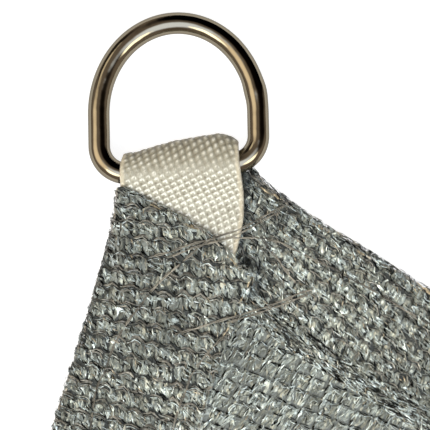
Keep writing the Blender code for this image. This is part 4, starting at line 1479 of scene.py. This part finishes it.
def set_camera():
    """Straight above the photographed corner, as the picture is framed."""
    data = bpy.data.cameras.new("camera")
    thing = bpy.data.objects.new("camera", data)
    bpy.context.scene.collection.objects.link(thing)
    framed = 125.86 * MM  # across the picture, at the cloth's height
    cloth_height = 3 * MM
    distance = 0.55
    data.sensor_width = 36
    data.lens = data.sensor_width * (distance - cloth_height) / framed
    data.clip_start, data.clip_end = 0.05, 200
    middle = corner_matrix(0) @ Vector((19.26 * MM, -29.59 * MM, 0))
    thing.location = (middle.x, middle.y, distance)
    thing.rotation_euler = (0, 0, CORNER_TURN)
    bpy.context.scene.camera = thing


# ---------------------------------------------------------------- the add-on


def tint(name, description, default=(1, 1, 1)):
    """A colour that a user may change."""
    return FloatVectorProperty(name=name, description=description, subtype="COLOR", min=0, max=1, default=default)


class SailSizes(bpy.types.PropertyGroup):
    ground: FloatProperty(
        name="Ground spacing", description="Between the points of the cloth under the tapes",
        default=1.0 * MM, unit="LENGTH",
    )
    weave: FloatProperty(
        name="Webbing spacing", description="Between the points of the photographed webbing loop",
        default=0.34 * MM, unit="LENGTH",
    )
    plain_weave: FloatProperty(
        name="Plain webbing spacing", description="Between the points of the other three webbing loops",
        default=0.6 * MM, unit="LENGTH",
    )
    thread: FloatProperty(
        name="Thread thickness", description="Across one sewing thread", default=0.3 * MM, unit="LENGTH",
    )


class SailColours(bpy.types.PropertyGroup):
    cloth: tint("Cloth tint", "Multiplies the shades of the knitted tape")
    webbing: tint("Webbing tint", "Multiplies the shades of the webbing")
    thread: tint("Thread tint", "Multiplies the shades of the sewing thread")
    steel: tint("Steel", "What the polished steel reflects", (0.246, 0.213, 0.159))


class SHADESAIL_OT_corners(bpy.types.Operator):
    """Knits the four corners, where the hems are folded over the webbing"""

    bl_idname = "shadesail.corners"
    bl_label = "Knit the corners"

    def execute(self, context):
        spacing, shade = context.scene.shade_sail_sizes.ground, context.scene.shade_sail_colours.cloth
        finish = fine_knit_finish()
        for corner in range(CORNERS):
            for piece in corner_cloth(corner, spacing, finish, shade):
                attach(piece, "root")
        return {"FINISHED"}


class SHADESAIL_OT_cloth(bpy.types.Operator):
    """Makes the cloth between the corners, with its four hems"""

    bl_idname = "shadesail.cloth"
    bl_label = "Make the cloth"

    def execute(self, context):
        piece = main_cloth(plain_knit_finish(context.scene.shade_sail_colours.cloth))
        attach(piece, "root")
        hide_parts("sail_cloth")
        return {"FINISHED"}


class SHADESAIL_OT_webbing(bpy.types.Operator):
    """Weaves the four webbing loops"""

    bl_idname = "shadesail.webbing"
    bl_label = "Weave the webbing"

    def execute(self, context):
        sizes = context.scene.shade_sail_sizes
        finish = webbing_finish(context.scene.shade_sail_colours.webbing)
        for corner in range(CORNERS):
            piece = webbing_strap(corner, sizes.weave if corner == 0 else sizes.plain_weave, finish)
            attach(piece, "root")
            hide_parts(f"webbing_{corner + 1}")
        return {"FINISHED"}


class SHADESAIL_OT_rings(bpy.types.Operator):
    """Bends the four steel rings"""

    bl_idname = "shadesail.rings"
    bl_label = "Bend the rings"

    def execute(self, context):
        finish = steel_finish(context.scene.shade_sail_colours.steel)
        for corner in range(CORNERS):
            piece = steel_ring(corner, finish)
            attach(piece, "root")
            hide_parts(f"d_ring_{corner + 1}")
        return {"FINISHED"}


class SHADESAIL_OT_sewing(bpy.types.Operator):
    """Sews the corners and hems"""

    bl_idname = "shadesail.sewing"
    bl_label = "Sew the corners"

    def execute(self, context):
        finish = thread_finish(context.scene.shade_sail_colours.thread)
        for corner in range(CORNERS):
            verts, faces = [], []
            for name in ("folded_hem", "laid_hem", "webbing_loop"):
                mesh = bpy.data.objects[f"{name}_{corner + 1}"].data
                start = len(verts)
                verts += [tuple(p.co) for p in mesh.vertices]
                faces += [tuple(k + start for k in face.vertices) for face in mesh.polygons]
            tree = BVHTree.FromPolygons(verts, faces)
            piece = corner_sewing(corner, tree, context.scene.shade_sail_sizes.thread, finish)
            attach(piece, "root")
        return {"FINISHED"}


class SHADESAIL_OT_stage(bpy.types.Operator):
    """Sets the floor, the light and the camera"""

    bl_idname = "shadesail.stage"
    bl_label = "Set the stage"

    def execute(self, context):
        floor_piece()
        room()
        set_camera()
        context.scene.view_settings.view_transform = "Standard"
        return {"FINISHED"}


STEPS = (
    SHADESAIL_OT_stage,
    SHADESAIL_OT_corners,
    SHADESAIL_OT_cloth,
    SHADESAIL_OT_webbing,
    SHADESAIL_OT_rings,
    SHADESAIL_OT_sewing,
)


class SHADESAIL_PT_panel(bpy.types.Panel):
    """Lists the steps, the sizes and the colours of the sail"""

    bl_idname = "SHADESAIL_PT_panel"
    bl_label = "Shade sail"
    bl_space_type = "VIEW_3D"
    bl_region_type = "UI"
    bl_category = "Shade sail"

    def draw(self, context):
        for step in STEPS:
            self.layout.operator(step.bl_idname)
        for group in (context.scene.shade_sail_sizes, context.scene.shade_sail_colours):
            for key in group.__annotations__:
                self.layout.prop(group, key)


CLASSES = (SailSizes, SailColours, *STEPS, SHADESAIL_PT_panel)


def register():
    for kind in CLASSES:
        bpy.utils.register_class(kind)
    bpy.types.Scene.shade_sail_sizes = PointerProperty(type=SailSizes)
    bpy.types.Scene.shade_sail_colours = PointerProperty(type=SailColours)


def unregister():
    del bpy.types.Scene.shade_sail_colours
    del bpy.types.Scene.shade_sail_sizes
    for kind in reversed(CLASSES):
        bpy.utils.unregister_class(kind)


def main():
    register()
    for step in STEPS:
        group, name = step.bl_idname.split(".")
        getattr(getattr(bpy.ops, group), name)()
    bpy.context.view_layer.update()


if __name__ == "__main__":
    main()
